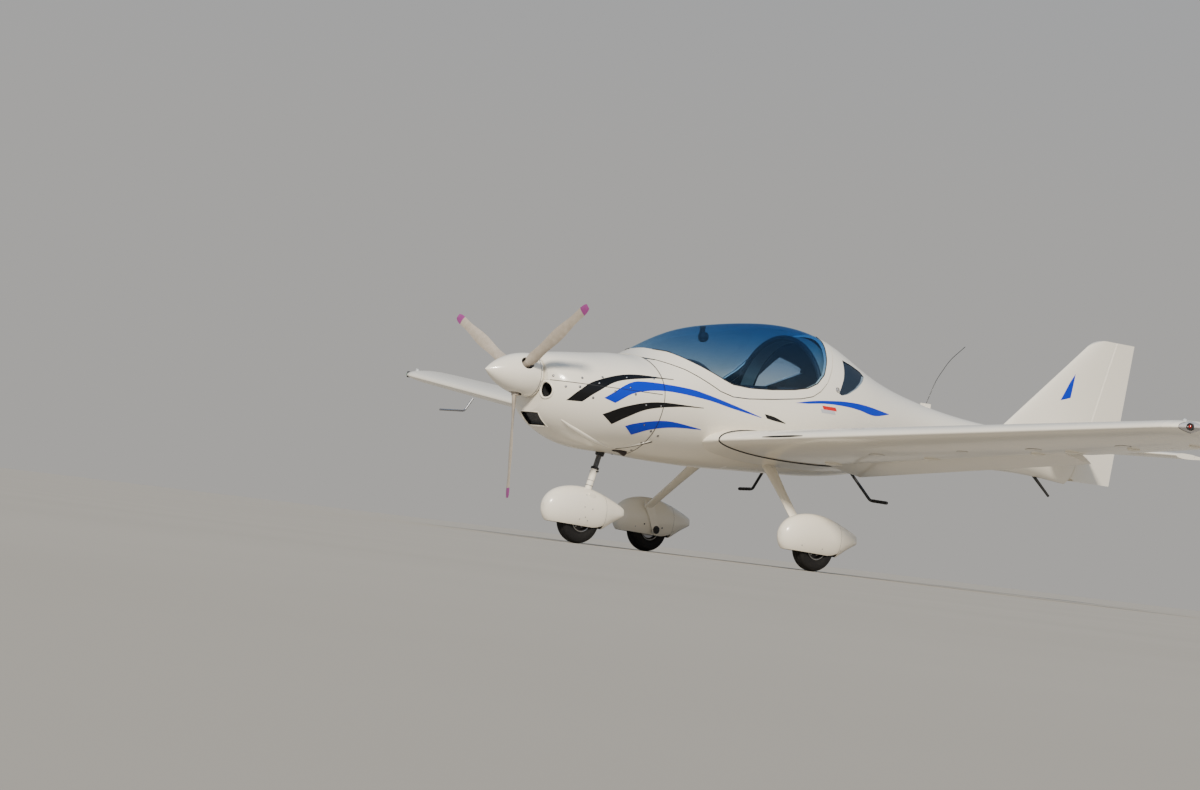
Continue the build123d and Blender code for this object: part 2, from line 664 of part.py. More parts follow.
with BuildPart() as spinner:
    with BuildSketch(Plane.YZ):
        with BuildLine():
            ThreePointArc((SPINNER_TIP_Y, AXIS_Z), (-3060, AXIS_Z + 100), (SPINNER_BASE_Y, AXIS_Z + SPINNER_R))
            Line((SPINNER_BASE_Y, AXIS_Z + SPINNER_R), (SPINNER_BASE_Y, AXIS_Z))
            Line((SPINNER_BASE_Y, AXIS_Z), (SPINNER_TIP_Y, AXIS_Z))
        make_face()
    revolve(axis=Axis((0, 0, AXIS_Z), (0, 1, 0)))
    with BuildSketch(Plane.YZ):
        with BuildLine():
            ThreePointArc((SPINNER_TIP_Y + 14, AXIS_Z), (-3054, AXIS_Z + 94), (SPINNER_BASE_Y - 8, AXIS_Z + SPINNER_R - 6))
            Line((SPINNER_BASE_Y - 8, AXIS_Z + SPINNER_R - 6), (SPINNER_BASE_Y - 8, AXIS_Z))
            Line((SPINNER_BASE_Y - 8, AXIS_Z), (SPINNER_TIP_Y + 14, AXIS_Z))
        make_face()
    revolve(axis=Axis((0, 0, AXIS_Z), (0, 1, 0)), mode=Mode.SUBTRACT)
    with Locations(Location((0, SPINNER_BASE_Y - 4, AXIS_Z), (90, 0, 0))):
        Cylinder(HUB_R - 6, 20, mode=Mode.SUBTRACT)
    for angle in BLADE_ANGLES:
        a = math.radians(angle)
        hole = Plane(origin=(math.sin(a) * 60, PROP_Y, AXIS_Z + math.cos(a) * 60),
                     z_dir=(math.sin(a), 0, math.cos(a)))
        with BuildSketch(hole):
            Circle(48)
        extrude(amount=140, mode=Mode.SUBTRACT)
save(spinner, "spinner")
with BuildPart() as hub_plate:
    # flange that carries the spinner's rear plate
    with Locations(Location((0, SPINNER_BASE_Y - 12 - 6, AXIS_Z), (90, 0, 0))):
        Cylinder(120, 12)
        Cylinder(HUB_R, 12, mode=Mode.SUBTRACT)
save(hub_plate, "propeller_hub")

# ---------------------------------------------------------------------------
# undercarriage
# ---------------------------------------------------------------------------
FAIRING = [
    # along (from the wheel's centre), half_width, top, bottom (above the floor)
    (-328, 14, 262, 214),
    (-314, 44, 302, 170),
    (-278, 70, 346, 130),
    (-180, 96, 394, 94),
    (-60, 103, 411, 86),
    (70, 99, 402, 88),
    (180, 88, 374, 106),
    (290, 60, 336, 170),
    (372, 34, 302, 214),
    (402, 16, 286, 230),
]
FAIRING_MID = 242.0
FAIRING_CUT = (145.0, 106.0)        # height of the flat cut at -400 and at +600 along


def fairing_form(x, y, shrink, first, last):
    with BuildPart() as form:
        for along, half_width, top, bottom in FAIRING[first:last]:
            with BuildSketch(Plane(origin=(x, y + along, FAIRING_MID), x_dir=(1, 0, 0), z_dir=(0, -1, 0))):
                with BuildLine():
                    a = half_width - shrink
                    up = top - FAIRING_MID - shrink
                    down = FAIRING_MID - bottom - shrink
                    EllipticalCenterArc((0, 0), a, up, start_angle=0, arc_size=90)
                    EllipticalCenterArc((0, 0), a, up, start_angle=90, arc_size=90)
                    EllipticalCenterArc((0, 0), a, down, start_angle=180, arc_size=90)
                    EllipticalCenterArc((0, 0), a, down, start_angle=270, arc_size=90)
                make_face()
        loft()
    return form.part


def fairing_shell(x, y):
    """Teardrop shell, cut off flat below and open there for the tyre."""
    with BuildPart() as shell:
        add(fairing_form(x, y, 0, 0, len(FAIRING)))
        add(fairing_form(x, y, 5, 1, 9), mode=Mode.SUBTRACT)
        with BuildSketch(Plane.YZ.offset(x - 200)):
            Polygon((y - 400, FAIRING_CUT[0]), (y - 400, -50), (y + 600, -50), (y + 600, FAIRING_CUT[1]), align=None)
        extrude(amount=400, mode=Mode.SUBTRACT)
        # flat floor behind the wheel stays closed; the wheel's own way is cut wide
        with Locations((x, y, 130)):
            Box(2 * 64, 2 * 188, 60, mode=Mode.SUBTRACT)
    return shell.part


def tyre_and_rim(x, y, name_tyre, name_rim):
    with BuildPart() as tyre:
        with BuildSketch(Plane(origin=(x, y, WHEEL_Z), x_dir=(1, 0, 0), z_dir=(0, -1, 0))):
            with BuildLine():
                Line((-42, RIM_R), (42, RIM_R))
                ThreePointArc((42, RIM_R), (TYRE_W / 2, 126), (38, 162))
                ThreePointArc((38, 162), (0, TYRE_R), (-38, 162))
                ThreePointArc((-38, 162), (-TYRE_W / 2, 126), (-42, RIM_R))
            make_face()
        revolve(axis=Axis((x, y, WHEEL_Z), (1, 0, 0)))
    save(tyre, name_tyre)
    with BuildPart() as rim:
        with BuildSketch(Plane(origin=(x, y, WHEEL_Z), x_dir=(1, 0, 0), z_dir=(0, -1, 0))):
            with BuildLine():
                Polyline((-42, RIM_R), (42, RIM_R), (42, 74), (16, 68), (12, 34), (36, 30), (36, AXLE_R + FIT),
                         (-36, AXLE_R + FIT), (-36, 30), (-12, 34), (-16, 68), (-42, 74), close=True)
            make_face()
        revolve(axis=Axis((x, y, WHEEL_Z), (1, 0, 0)))
    save(rim, name_rim)


with BuildPart() as left_gear_leg:
    add(leg_form.part)
    # foot plate from the leg's end down to the axle
    with BuildSketch(Plane.YZ.offset(FOOT_X - FOOT_T / 2)):
        Polygon((-955, 372), (-868, 372), (MAIN_Y + 30, WHEEL_Z + 6), (MAIN_Y - 30, WHEEL_Z - 6), align=None)
    extrude(amount=FOOT_T)
    with Locations(Location((FOOT_X, MAIN_Y, WHEEL_Z), (0, 90, 0))):
        Cylinder(32, FOOT_T)
        Cylinder(AXLE_R, 40, mode=Mode.SUBTRACT)
    add(outer, mode=Mode.SUBTRACT)
save(left_gear_leg, "left_gear_leg")
with BuildPart() as right_gear_leg:
    add(left_gear_leg.part)
    mirror(about=Plane.YZ, mode=Mode.REPLACE)
save(right_gear_leg, "right_gear_leg")
with BuildPart() as left_axle:
    with Locations(Location(((FOOT_X - FOOT_T / 2 + 1038) / 2, MAIN_Y, WHEEL_Z), (0, 90, 0))):
        Cylinder(AXLE_R, 1038 - FOOT_X + FOOT_T / 2)
    with Locations(Location((1028, MAIN_Y, WHEEL_Z), (0, 90, 0))):
        Cylinder(17, 16)
    with Locations(Location((908, MAIN_Y, WHEEL_Z), (0, 90, 0))):
        Cylinder(17, 32)
save(left_axle, "left_axle")
with BuildPart() as right_axle:
    add(left_axle.part)
    mirror(about=Plane.YZ, mode=Mode.REPLACE)
save(right_axle, "right_axle")
with BuildPart() as left_wheel_fairing:
    add(fairing_shell(MAIN_X, MAIN_Y))
    add(left_gear_leg.part, mode=Mode.SUBTRACT)
    with Locations(Location((880, MAIN_Y, WHEEL_Z), (0, 90, 0))):
        Cylinder(AXLE_R + FIT, 60, mode=Mode.SUBTRACT)
save(left_wheel_fairing, "left_wheel_fairing")
with BuildPart() as right_wheel_fairing:
    add(left_wheel_fairing.part)
    mirror(about=Plane.YZ, mode=Mode.REPLACE)
save(right_wheel_fairing, "right_wheel_fairing")
tyre_and_rim(MAIN_X, MAIN_Y, "left_tyre", "left_wheel_rim")
tyre_and_rim(-MAIN_X, MAIN_Y, "right_tyre", "right_wheel_rim")

# nose leg: upper tube fixed at the firewall, sleeve with fork turns on it
STEER_LOW = Vector(0, NOSE_Y, WHEEL_Z)
STEER_DIR = Vector(0, 0.2508, 0.9680)


def on_steer(d):
    p = STEER_LOW + STEER_DIR * d
    return (p.X, p.Y, p.Z)


TUBE_R, SLEEVE_R = 19.0, 25.0
SLEEVE = (198.0, 400.0)             # along the steering axis from the wheel's centre
with BuildPart() as nose_leg_upper:
    add(cone_on(on_steer(300), on_steer(640), TUBE_R, TUBE_R))
    with Locations((0, -2036, z_abs(-350))):
        Box(60, 140, 110)
save(nose_leg_upper, "nose_leg_upper")
with BuildPart() as nose_fork:
    add(cone_on(on_steer(SLEEVE[0]), on_steer(SLEEVE[1]), SLEEVE_R, SLEEVE_R))
    # crown over the tyre and two legs down to the axle
    with BuildSketch(Plane(origin=on_steer(184), x_dir=(1, 0, 0), z_dir=STEER_DIR)):
        Rectangle(162, 52)
    extrude(amount=18)
    for x in (-76, 76):
        with BuildSketch(Plane(origin=STEER_LOW + Vector(x - 5, 0, 0), x_dir=STEER_DIR, z_dir=(1, 0, 0))):
            with Locations((94, 0)):
                Rectangle(190, 40)
            Circle(26)
            Circle(AXLE_R, mode=Mode.SUBTRACT)
        extrude(amount=10)
    add(cone_on(on_steer(290), on_steer(SLEEVE[1] + 1), TUBE_R + FIT, TUBE_R + FIT), mode=Mode.SUBTRACT)
save(nose_fork, "nose_fork")
with BuildPart() as nose_axle:
    with Locations(Location((0, NOSE_Y, WHEEL_Z), (0, 90, 0))):
        Cylinder(AXLE_R, 162)
    for x in (-56, 56):
        with Locations(Location((x, NOSE_Y, WHEEL_Z), (0, 90, 0))):
            Cylinder(17, 28)
save(nose_axle, "nose_axle")
with BuildPart() as nose_wheel_fairing:
    add(fairing_shell(0, NOSE_Y))
    add(nose_fork.part, mode=Mode.SUBTRACT)
    add(cone_on(on_steer(180), on_steer(300), SLEEVE_R - 1, SLEEVE_R - 1), mode=Mode.SUBTRACT)
save(nose_wheel_fairing, "nose_wheel_fairing")
tyre_and_rim(0, NOSE_Y, "nose_tyre", "nose_wheel_rim")

# ---------------------------------------------------------------------------
# cabin
# ---------------------------------------------------------------------------
with BuildPart() as cabin_floor:
    add(inner)
    with Locations((0, 0, z_abs(-370) + 1000)):
        Box(3000, 8000, 2000, mode=Mode.SUBTRACT)
    with Locations((0, 0, z_abs(-382) - 1000)):
        Box(3000, 8000, 2000, mode=Mode.SUBTRACT)
    with Locations((0, FIREWALL_Y + 6 - 2500, AXIS_Z)):
        Box(3000, 5000, 2000, mode=Mode.SUBTRACT)
    with Locations((0, -330 + 2500, AXIS_Z)):
        Box(3000, 5000, 2000, mode=Mode.SUBTRACT)
save(cabin_floor, "cabin_floor")

with BuildPart() as rear_bulkhead:
    add(inner)
    with Locations((0, 60 + 2500, AXIS_Z)):
        Box(3000, 5000, 3000, mode=Mode.SUBTRACT)
    with Locations((0, 48 - 2500, AXIS_Z)):
        Box(3000, 5000, 3000, mode=Mode.SUBTRACT)
    with Locations((0, 54, z_abs(200 + 500))):
        Box(3000, 100, 1000, mode=Mode.SUBTRACT)
save(rear_bulkhead, "rear_bulkhead")

# rollover hoop: wide band arch behind the seats
with BuildPart() as rollover_hoop:
    with BuildSketch(Plane(origin=(0, -350, z_abs(0)), x_dir=(1, 0, 0), z_dir=(0, -1, 0))):
        for wide, high, foot, side in ((530, 582, 495, Mode.ADD), (494, 544, 459, Mode.SUBTRACT)):
            with BuildLine():
                EllipticalCenterArc((0, 0), wide, high, start_angle=0, arc_size=180)
                Polyline((-wide, 0), (-foot, -165), (foot, -165), (wide, 0))
            make_face(mode=side)
    extrude(amount=140)
save(rollover_hoop, "rollover_hoop")

SEAT_X = 250.0
for side, x in (("left", SEAT_X), ("right", -SEAT_X)):
    with BuildPart() as seat:
        with BuildSketch(Plane.YZ.offset(x - 190)):
            with BuildLine():
                # pan and low back in one side profile
                Polyline((-1120, z_abs(-225)), (-1120, z_abs(-150)), (-705, z_abs(-190)), (-597, z_abs(188)),
                         (-582, z_abs(198)), (-537, z_abs(196)), (-640, z_abs(-268)), (-1080, z_abs(-268)), close=True)
            make_face()
        extrude(amount=380)
        fillet(seat.edges().filter_by(Axis.X).group_by(Axis.Z)[-1], 12)
    save(seat, f"{side}_seat")
with BuildPart() as seat_base:
    with Locations((0, -850, z_abs(-319))):
        Box(620, 420, 100)
save(seat_base, "seat_base")

with BuildPart() as center_console:
    with Locations((0, -1492, z_abs(-275))):
        Box(96, 850, 186)
save(center_console, "center_console")

with BuildPart() as instrument_panel:
    with BuildSketch(Plane(origin=(0, -1400, z_abs(0)), x_dir=(1, 0, 0), z_dir=(0, -1, 0))):
        with BuildLine():
            Line((-440, -60), (440, -60))
            Line((440, -60), (440, 90))
            ThreePointArc((440, 90), (0, 292), (-440, 90))
            Line((-440, 90), (-440, -60))
        make_face()
    extrude(amount=24)
    # glareshield deck running forward to the firewall
    with BuildSketch(Plane(origin=(0, -1424, z_abs(0)), x_dir=(1, 0, 0), z_dir=(0, -1, 0))):
        with BuildLine():
            ThreePointArc((440, 90), (0, 292), (-440, 90))
            Line((-440, 90), (-440, 70))
            ThreePointArc((-440, 70), (0, 272), (440, 70))
            Line((440, 70), (440, 90))
        make_face()
    with BuildSketch(Plane(origin=(0, FIREWALL_Y + 6, z_abs(0)), x_dir=(1, 0, 0), z_dir=(0, -1, 0))):
        with BuildLine():
            ThreePointArc((300, 60), (0, 216), (-300, 60))
            Line((-300, 60), (-300, 40))
            ThreePointArc((-300, 40), (0, 196), (300, 40))
            Line((300, 40), (300, 60))
        make_face()
    loft(ruled=True)
save(instrument_panel, "instrument_panel")

# canopy hinge: pin on a bracket at the firewall, two lugs on the frame
with BuildPart() as canopy_hinge:
    with Locations(Location((0, CANOPY_AXIS_Y, CANOPY_AXIS_Z), (0, 90, 0))):
        Cylinder(3, 108)
        Cylinder(7, 70)
    with Locations((0, CANOPY_AXIS_Y, CANOPY_AXIS_Z - 24)):
        Box(70, 14, 40)
    with Locations((0, (-1992 + FIREWALL_Y - 8) / 2, CANOPY_AXIS_Z - 48)):
        Box(70, FIREWALL_Y - 8 + 1992, 20)
save(canopy_hinge, "canopy_hinge")
with BuildPart() as canopy_lugs:
    for x in (-48, 48):
        with Locations(Location((x, CANOPY_AXIS_Y, CANOPY_AXIS_Z), (0, 90, 0))):
            Cylinder(7, 6)
        with Locations((x, -1967, CANOPY_AXIS_Z)):
            Box(6, 36, 12)
    for x in (-48, 48):
        with Locations(Location((x, CANOPY_AXIS_Y, CANOPY_AXIS_Z), (0, 90, 0))):
            Cylinder(3 + FIT, 8, mode=Mode.SUBTRACT)
    add(canopy_frame.part, mode=Mode.SUBTRACT)
save(canopy_lugs, "canopy_lugs")

with BuildPart() as compass:
    with Locations((0, -1275, z_abs(474))):
        Cylinder(30, 64)
    with Locations((0, -1285, z_abs(530))):
        Box(26, 30, 90)
    add(outer, mode=Mode.INTERSECT)
    add(inner_glass, mode=Mode.INTERSECT)
save(compass, "compass")

# ---------------------------------------------------------------------------
# small fixed pieces
# ---------------------------------------------------------------------------
with BuildPart() as pitot_tube:
    add(tube([(-3050, -1080, z_abs(-98)), (-3050, -1150, z_abs(-204)), (-3050, -1390, z_abs(-221))], [40], 8))
    add(right_wing.part, mode=Mode.SUBTRACT)
save(pitot_tube, "pitot_tube")

with BuildPart() as tail_skid:
    add(cone_on((0, 2242, z_abs(-190)), (0, 2432, z_abs(-334)), 13, 10))
    add(outer, mode=Mode.SUBTRACT)
save(tail_skid, "tail_skid")

with BuildPart() as antenna:
    with Locations((0, 1005, z_abs(220))):
        Box(22, 90, 44)
    add(tube([(0, 1005, z_abs(230)), (0, 1085, z_abs(434)), (0, 1205, z_abs(604)), (0, 1350, z_abs(727))],
             [500, 500], 2.5))
    add(outer, mode=Mode.SUBTRACT)
save(antenna, "antenna")

for side, sign in (("left", 1), ("right", -1)):
    with BuildPart() as boarding_step:
        add(tube([(sign * 430, -122, z_abs(-332)), (sign * 678, -60, z_abs(-574)), (sign * 851, -46, z_abs(-581))],
                 [50], 11))
        add(outer, mode=Mode.SUBTRACT)
        add(root_form.part if sign > 0 else root_form.part.mirror(Plane.YZ), mode=Mode.SUBTRACT)
    save(boarding_step, f"{side}_boarding_step")

print("span", left_wing.part.bounding_box().max.X * 2)
print("flap hinge", HINGE_A, HINGE_B, tuple(AXIS_DIR))
for x in (FLAP_X[0], AILERON_X[0], AILERON_X[1]):
    print("hinge point", x, on_hinge(x))
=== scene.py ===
import bpy, bmesh, math, random
import numpy as np
from mathutils import Vector, Matrix
from mathutils.bvhtree import BVHTree


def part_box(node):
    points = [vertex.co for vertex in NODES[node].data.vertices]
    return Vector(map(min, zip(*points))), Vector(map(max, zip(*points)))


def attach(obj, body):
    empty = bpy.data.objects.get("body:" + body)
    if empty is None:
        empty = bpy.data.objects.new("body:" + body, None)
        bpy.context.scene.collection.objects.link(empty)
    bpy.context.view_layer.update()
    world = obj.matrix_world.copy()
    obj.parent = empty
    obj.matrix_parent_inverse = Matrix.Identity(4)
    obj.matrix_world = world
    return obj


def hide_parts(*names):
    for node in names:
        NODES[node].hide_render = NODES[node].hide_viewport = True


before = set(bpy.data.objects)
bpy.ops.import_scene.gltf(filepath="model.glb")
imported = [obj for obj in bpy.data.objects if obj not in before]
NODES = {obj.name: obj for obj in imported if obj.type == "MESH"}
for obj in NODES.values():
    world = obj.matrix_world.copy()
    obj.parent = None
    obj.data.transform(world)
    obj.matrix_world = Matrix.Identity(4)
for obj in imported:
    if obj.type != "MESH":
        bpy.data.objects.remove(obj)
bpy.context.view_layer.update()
random.seed(7)
AXIS_Z = 1.145


def Z(z):
    """Height above the floor of a height given from the propeller's axis."""
    return AXIS_Z + z


# ---------------------------------------------------------------------------
# camera and stage
# ---------------------------------------------------------------------------
scene = bpy.context.scene
CAM_POS = (21.1883, -18.5045, 0.06)
CAM_ROWS = [[0.610078, 0.783399, 0.118708], [-0.042609, -0.117164, 0.992198], [0.791195, -0.610376, -0.038099]]
CAM_F = 3719.51                      # focal length in pixels of the 1200 px wide frame
cam_data = bpy.data.cameras.new("camera")
cam = bpy.data.objects.new("camera", cam_data)
scene.collection.objects.link(cam)
rot = Matrix(CAM_ROWS).transposed().to_4x4()
cam.matrix_world = Matrix.Translation(CAM_POS) @ rot
cam_data.sensor_width = 36.0
cam_data.lens = CAM_F * 36.0 / 1200.0
cam_data.clip_end = 400
scene.camera = cam


def node_material(name):
    m = bpy.data.materials.new(name)
    m.use_nodes = True
    nt = m.node_tree
    nt.nodes.clear()
    out = nt.nodes.new("ShaderNodeOutputMaterial")
    bsdf = nt.nodes.new("ShaderNodeBsdfPrincipled")
    nt.links.new(bsdf.outputs[0], out.inputs[0])
    return m, nt, bsdf, out


class Tree:
    """Short hand for building a node tree."""

    def __init__(self, nt):
        self.nt = nt

    def new(self, kind, **props):
        n = self.nt.nodes.new(kind)
        for k, v in props.items():
            setattr(n, k, v)
        return n

    def link(self, a, b):
        self.nt.links.new(a, b)

    def value(self, socket, v):
        if hasattr(v, "is_output") or isinstance(v, bpy.types.NodeSocket):
            self.link(v, socket)
        else:
            socket.default_value = v

    def math(self, op, a, b=0.0, c=None, clamp=False):
        n = self.new("ShaderNodeMath", operation=op, use_clamp=clamp)
        self.value(n.inputs[0], a)
        self.value(n.inputs[1], b)
        if c is not None:
            self.value(n.inputs[2], c)
        return n.outputs[0]

    def coords(self):
        t = self.new("ShaderNodeTexCoord")
        s = self.new("ShaderNodeSeparateXYZ")
        self.link(t.outputs["Object"], s.inputs[0])
        return t.outputs["Object"], s.outputs[0], s.outputs[1], s.outputs[2]

    def noise(self, vector, scale, detail=3.0, rough=0.5, stretch=None):
        if stretch:
            m = self.new("ShaderNodeMapping")
            m.inputs["Scale"].default_value = stretch
            self.link(vector, m.inputs[0])
            vector = m.outputs[0]
        n = self.new("ShaderNodeTexNoise")
        n.inputs["Scale"].default_value = scale
        n.inputs["Detail"].default_value = detail
        n.inputs["Roughness"].default_value = rough
        self.link(vector, n.inputs["Vector"])
        return n.outputs["Fac"]

    def ramp(self, fac, stops):
        r = self.new("ShaderNodeValToRGB")
        els = r.color_ramp.elements
        while len(els) > 1:
            els.remove(els[-1])
        els[0].position = stops[0][0]
        els[0].color = (*stops[0][1], 1)
        for p, c in stops[1:]:
            e = els.new(p)
            e.color = (*c, 1)
        self.link(fac, r.inputs[0])
        return r.outputs[0]

    def mix(self, fac, a, b):
        n = self.new("ShaderNodeMix", data_type="RGBA")
        self.value(n.inputs["Factor"], fac)
        for s, v in ((n.inputs[6], a), (n.inputs[7], b)):
            if isinstance(v, tuple):
                s.default_value = (*v, 1)
            else:
                self.link(v, s)
        return n.outputs[2]

    def bump(self, height, strength, distance, bsdf):
        b = self.new("ShaderNodeBump")
        b.inputs["Strength"].default_value = strength
        b.inputs["Distance"].default_value = distance
        self.link(height, b.inputs["Height"])
        self.link(b.outputs[0], bsdf.inputs["Normal"])


def gloss_paint(name, color, dark=None, rough=0.22, coat=0.35, dirt=0.05, inside=None, spec=0.5):
    """Polished gelcoat: faint mottling in colour and gloss, and a little road film as darker random patches."""
    m, nt, bsdf, out = node_material(name)
    t = Tree(nt)
    vec, x, y, z = t.coords()
    n1 = t.noise(vec, 2.2, 4)
    n2 = t.noise(vec, 38.0, 3)
    dark = dark or tuple(c * (1 - dirt) for c in color)
    base = t.ramp(n1, [(0.30, dark), (0.70, color)])
    speck = t.ramp(n2, [(0.30, tuple(c * 0.985 for c in color)), (0.65, color)])
    mixed = t.mix(0.45, base, speck)
    if inside:
        # faces that look towards the middle of the cabin are trimmed, not painted
        g = t.new("ShaderNodeNewGeometry")
        sep = t.new("ShaderNodeSeparateXYZ")
        t.link(g.outputs["Normal"], sep.inputs[0])
        dz = t.math("SUBTRACT", z, AXIS_Z)
        dot = t.math("ADD", t.math("MULTIPLY", x, sep.outputs[0]), t.math("MULTIPLY", dz, sep.outputs[2]))
        fac = t.math("MULTIPLY", t.math("LESS_THAN", dot, -0.02), 1.0)
        felt = t.noise(vec, 420.0, 2)
        trim = t.ramp(felt, [(0.3, tuple(c * 0.7 for c in inside)), (0.7, inside)])
        mixed = t.mix(fac, mixed, trim)
        r = t.math("ADD", t.math("MULTIPLY", fac, 0.6), t.math("ADD", rough, t.math("MULTIPLY", n1, 0.08)))
        t.link(r, bsdf.inputs["Roughness"])
    else:
        r = t.math("ADD", rough - 0.04, t.math("MULTIPLY", n1, 0.10))
        t.link(r, bsdf.inputs["Roughness"])
    t.link(mixed, bsdf.inputs["Base Color"])
    bsdf.inputs["Specular IOR Level"].default_value = spec
    bsdf.inputs["Coat Weight"].default_value = coat
    bsdf.inputs["Coat Roughness"].default_value = 0.06
    t.bump(t.noise(vec, 9.0, 2), 0.05, 0.004, bsdf)
    return m


def plain(name, color, rough=0.5, metal=0.0, scale=120.0, vary=0.25, bump=0.2, bump_d=0.0006, coat=0.0,
          stretch=None, rough_vary=0.15):
    m, nt, bsdf, out = node_material(name)
    t = Tree(nt)
    vec, x, y, z = t.coords()
    n = t.noise(vec, scale, 4, 0.6, stretch)
    big = t.noise(vec, scale / 14.0, 3)
    lo = tuple(max(c * (1 - vary), 0.0) for c in color)
    hi = tuple(min(c * (1 + vary * 0.6), 1.0) for c in color)
    base = t.ramp(n, [(0.30, lo), (0.70, hi)])
    soft = t.ramp(big, [(0.30, tuple(c * (1 - vary * 0.5) for c in color)), (0.70, color)])
    t.link(t.mix(0.5, base, soft), bsdf.inputs["Base Color"])
    t.link(t.math("ADD", rough - rough_vary / 2, t.math("MULTIPLY", big, rough_vary)), bsdf.inputs["Roughness"])
    bsdf.inputs["Metallic"].default_value = metal
    if coat:
        bsdf.inputs["Coat Weight"].default_value = coat
        bsdf.inputs["Coat Roughness"].default_value = 0.08
    t.bump(n, bump, bump_d, bsdf)
    return m


def floor_material():
    m, nt, bsdf, out = node_material("studio_floor")
    t = Tree(nt)
    vec, x, y, z = t.coords()
    n = t.noise(vec, 0.7, 3)
    t.link(t.ramp(n, [(0.3, (0.400, 0.368, 0.318)), (0.7, (0.418, 0.386, 0.334))]), bsdf.inputs["Base Color"])
    bsdf.inputs["Roughness"].default_value = 0.9
    bsdf.inputs["Specular IOR Level"].default_value = 0.1
    return m


bm = bmesh.new()
bmesh.ops.create_circle(bm, cap_ends=True, segments=96, radius=120.0)
mesh = bpy.data.meshes.new("studio_floor")
bm.to_mesh(mesh)
bm.free()
floor = bpy.data.objects.new("studio_floor", mesh)
scene.collection.objects.link(floor)
mesh.materials.append(floor_material())

world = bpy.data.worlds.new("studio")
scene.world = world
world.use_nodes = True
wnt = world.node_tree
wnt.nodes.clear()
wt = Tree(wnt)
wout = wt.new("ShaderNodeOutputWorld")
wbg = wt.new("ShaderNodeBackground")
wtc = wt.new("ShaderNodeTexCoord")
wsep = wt.new("ShaderNodeSeparateXYZ")
wt.link(wtc.outputs["Generated"], wsep.inputs[0])
wcol = wt.ramp(wsep.outputs[2], [(0.0, (0.672, 0.654, 0.625)), (0.10, (0.668, 0.656, 0.638)), (0.25, (0.60, 0.64, 0.70)), (0.55, (0.46, 0.60, 0.80)), (1.0, (0.34, 0.50, 0.76))])
wt.link(wcol, wbg.inputs[0])
wbg.inputs[1].default_value = 0.66
wt.link(wbg.outputs[0], wout.inputs[0])


def sun(name, energy, angle_deg, direction, color):
    d = bpy.data.lights.new(name, "SUN")
    d.energy = energy
    d.angle = math.radians(angle_deg)
    d.color = color
    o = bpy.data.objects.new(name, d)
    scene.collection.objects.link(o)
    o.rotation_mode = "QUATERNION"
    o.rotation_quaternion = Vector(direction).to_track_quat("-Z", "Y")
    return o


# light travels along the direction given
sun("key", 4.6, 9.0, (-0.66, 0.62, -0.62), (1.0, 0.92, 0.79))
sun("fill", 0.25, 60.0, (-0.9, 0.1, -0.25), (0.90, 0.94, 1.0))

# ---------------------------------------------------------------------------
# materials
# ---------------------------------------------------------------------------
WHITE = (0.90, 0.845, 0.735)
white = gloss_paint("gelcoat_white", WHITE)
white_shell = gloss_paint("gelcoat_white_lined", WHITE, inside=(0.045, 0.045, 0.05))
blue = gloss_paint("stripe_blue", (0.001, 0.030, 0.52), rough=0.30, coat=0.12, dirt=0.15, spec=0.30)
black = gloss_paint("stripe_black", (0.0035, 0.0035, 0.0045), rough=0.30, coat=0.12, dirt=0.2, spec=0.25)
red = gloss_paint("stripe_red", (0.70, 0.012, 0.010), rough=0.30, coat=0.15, dirt=0.1, spec=0.3)
gold = gloss_paint("stripe_gold", (0.80, 0.42, 0.02), rough=0.25, dirt=0.1)
rubber_seal = plain("rubber_seal", (0.012, 0.012, 0.013), 0.6, scale=300, bump=0.3)
dark_trim = plain("dark_trim", (0.018, 0.018, 0.020), 0.55, scale=260, bump=0.5, bump_d=0.0008)
hoop_trim = plain("hoop_trim", (0.36, 0.33, 0.275), 0.6, scale=220, bump=0.35)
steel = plain("steel", (0.42, 0.42, 0.44), 0.35, metal=1.0, scale=160, vary=0.15, bump=0.1, stretch=(1, 1, 8))
dark_steel = plain("dark_steel", (0.05, 0.05, 0.055), 0.42, metal=0.8, scale=160, vary=0.3)
alloy = plain("cast_alloy", (0.55, 0.55, 0.56), 0.38, metal=1.0, scale=90, vary=0.15)
rim_dark = plain("rim_painted", (0.050, 0.045, 0.043), 0.45, metal=0.3, scale=110, vary=0.3)
leg_tube = plain("leg_tube", (0.13, 0.13, 0.135), 0.5, metal=0.5, scale=55, vary=0.75, bump=0.3)
cooler_grey = plain("cooler_core", (0.24, 0.24, 0.245), 0.6, scale=420, vary=0.4, stretch=(6, 1, 1))
engine_metal = plain("engine_casting", (0.22, 0.22, 0.23), 0.5, metal=0.8, scale=70)
exhaust_metal = plain("exhaust_metal", (0.07, 0.055, 0.05), 0.6, metal=0.7, scale=60, vary=0.4)
step_black = plain("step_black", (0.012, 0.012, 0.013), 0.4, scale=200, coat=0.2)
carpet = plain("cabin_carpet", (0.030, 0.032, 0.038), 0.95, scale=700, vary=0.5, bump=0.8, bump_d=0.002)
skid_black = plain("skid_rubber", (0.02, 0.02, 0.02), 0.7, scale=150)


def tyre_material():
    m, nt, bsdf, out = node_material("tyre_rubber")
    t = Tree(nt)
    vec, x, y, z = t.coords()
    n = t.noise(vec, 90.0, 4)
    t.link(t.ramp(n, [(0.3, (0.006, 0.006, 0.007)), (0.7, (0.016, 0.015, 0.0145))]), bsdf.inputs["Base Color"])
    t.link(t.math("ADD", 0.68, t.math("MULTIPLY", n, 0.2)), bsdf.inputs["Roughness"])
    bsdf.inputs["Specular IOR Level"].default_value = 0.25
    t.bump(n, 0.35, 0.0008, bsdf)
    return m


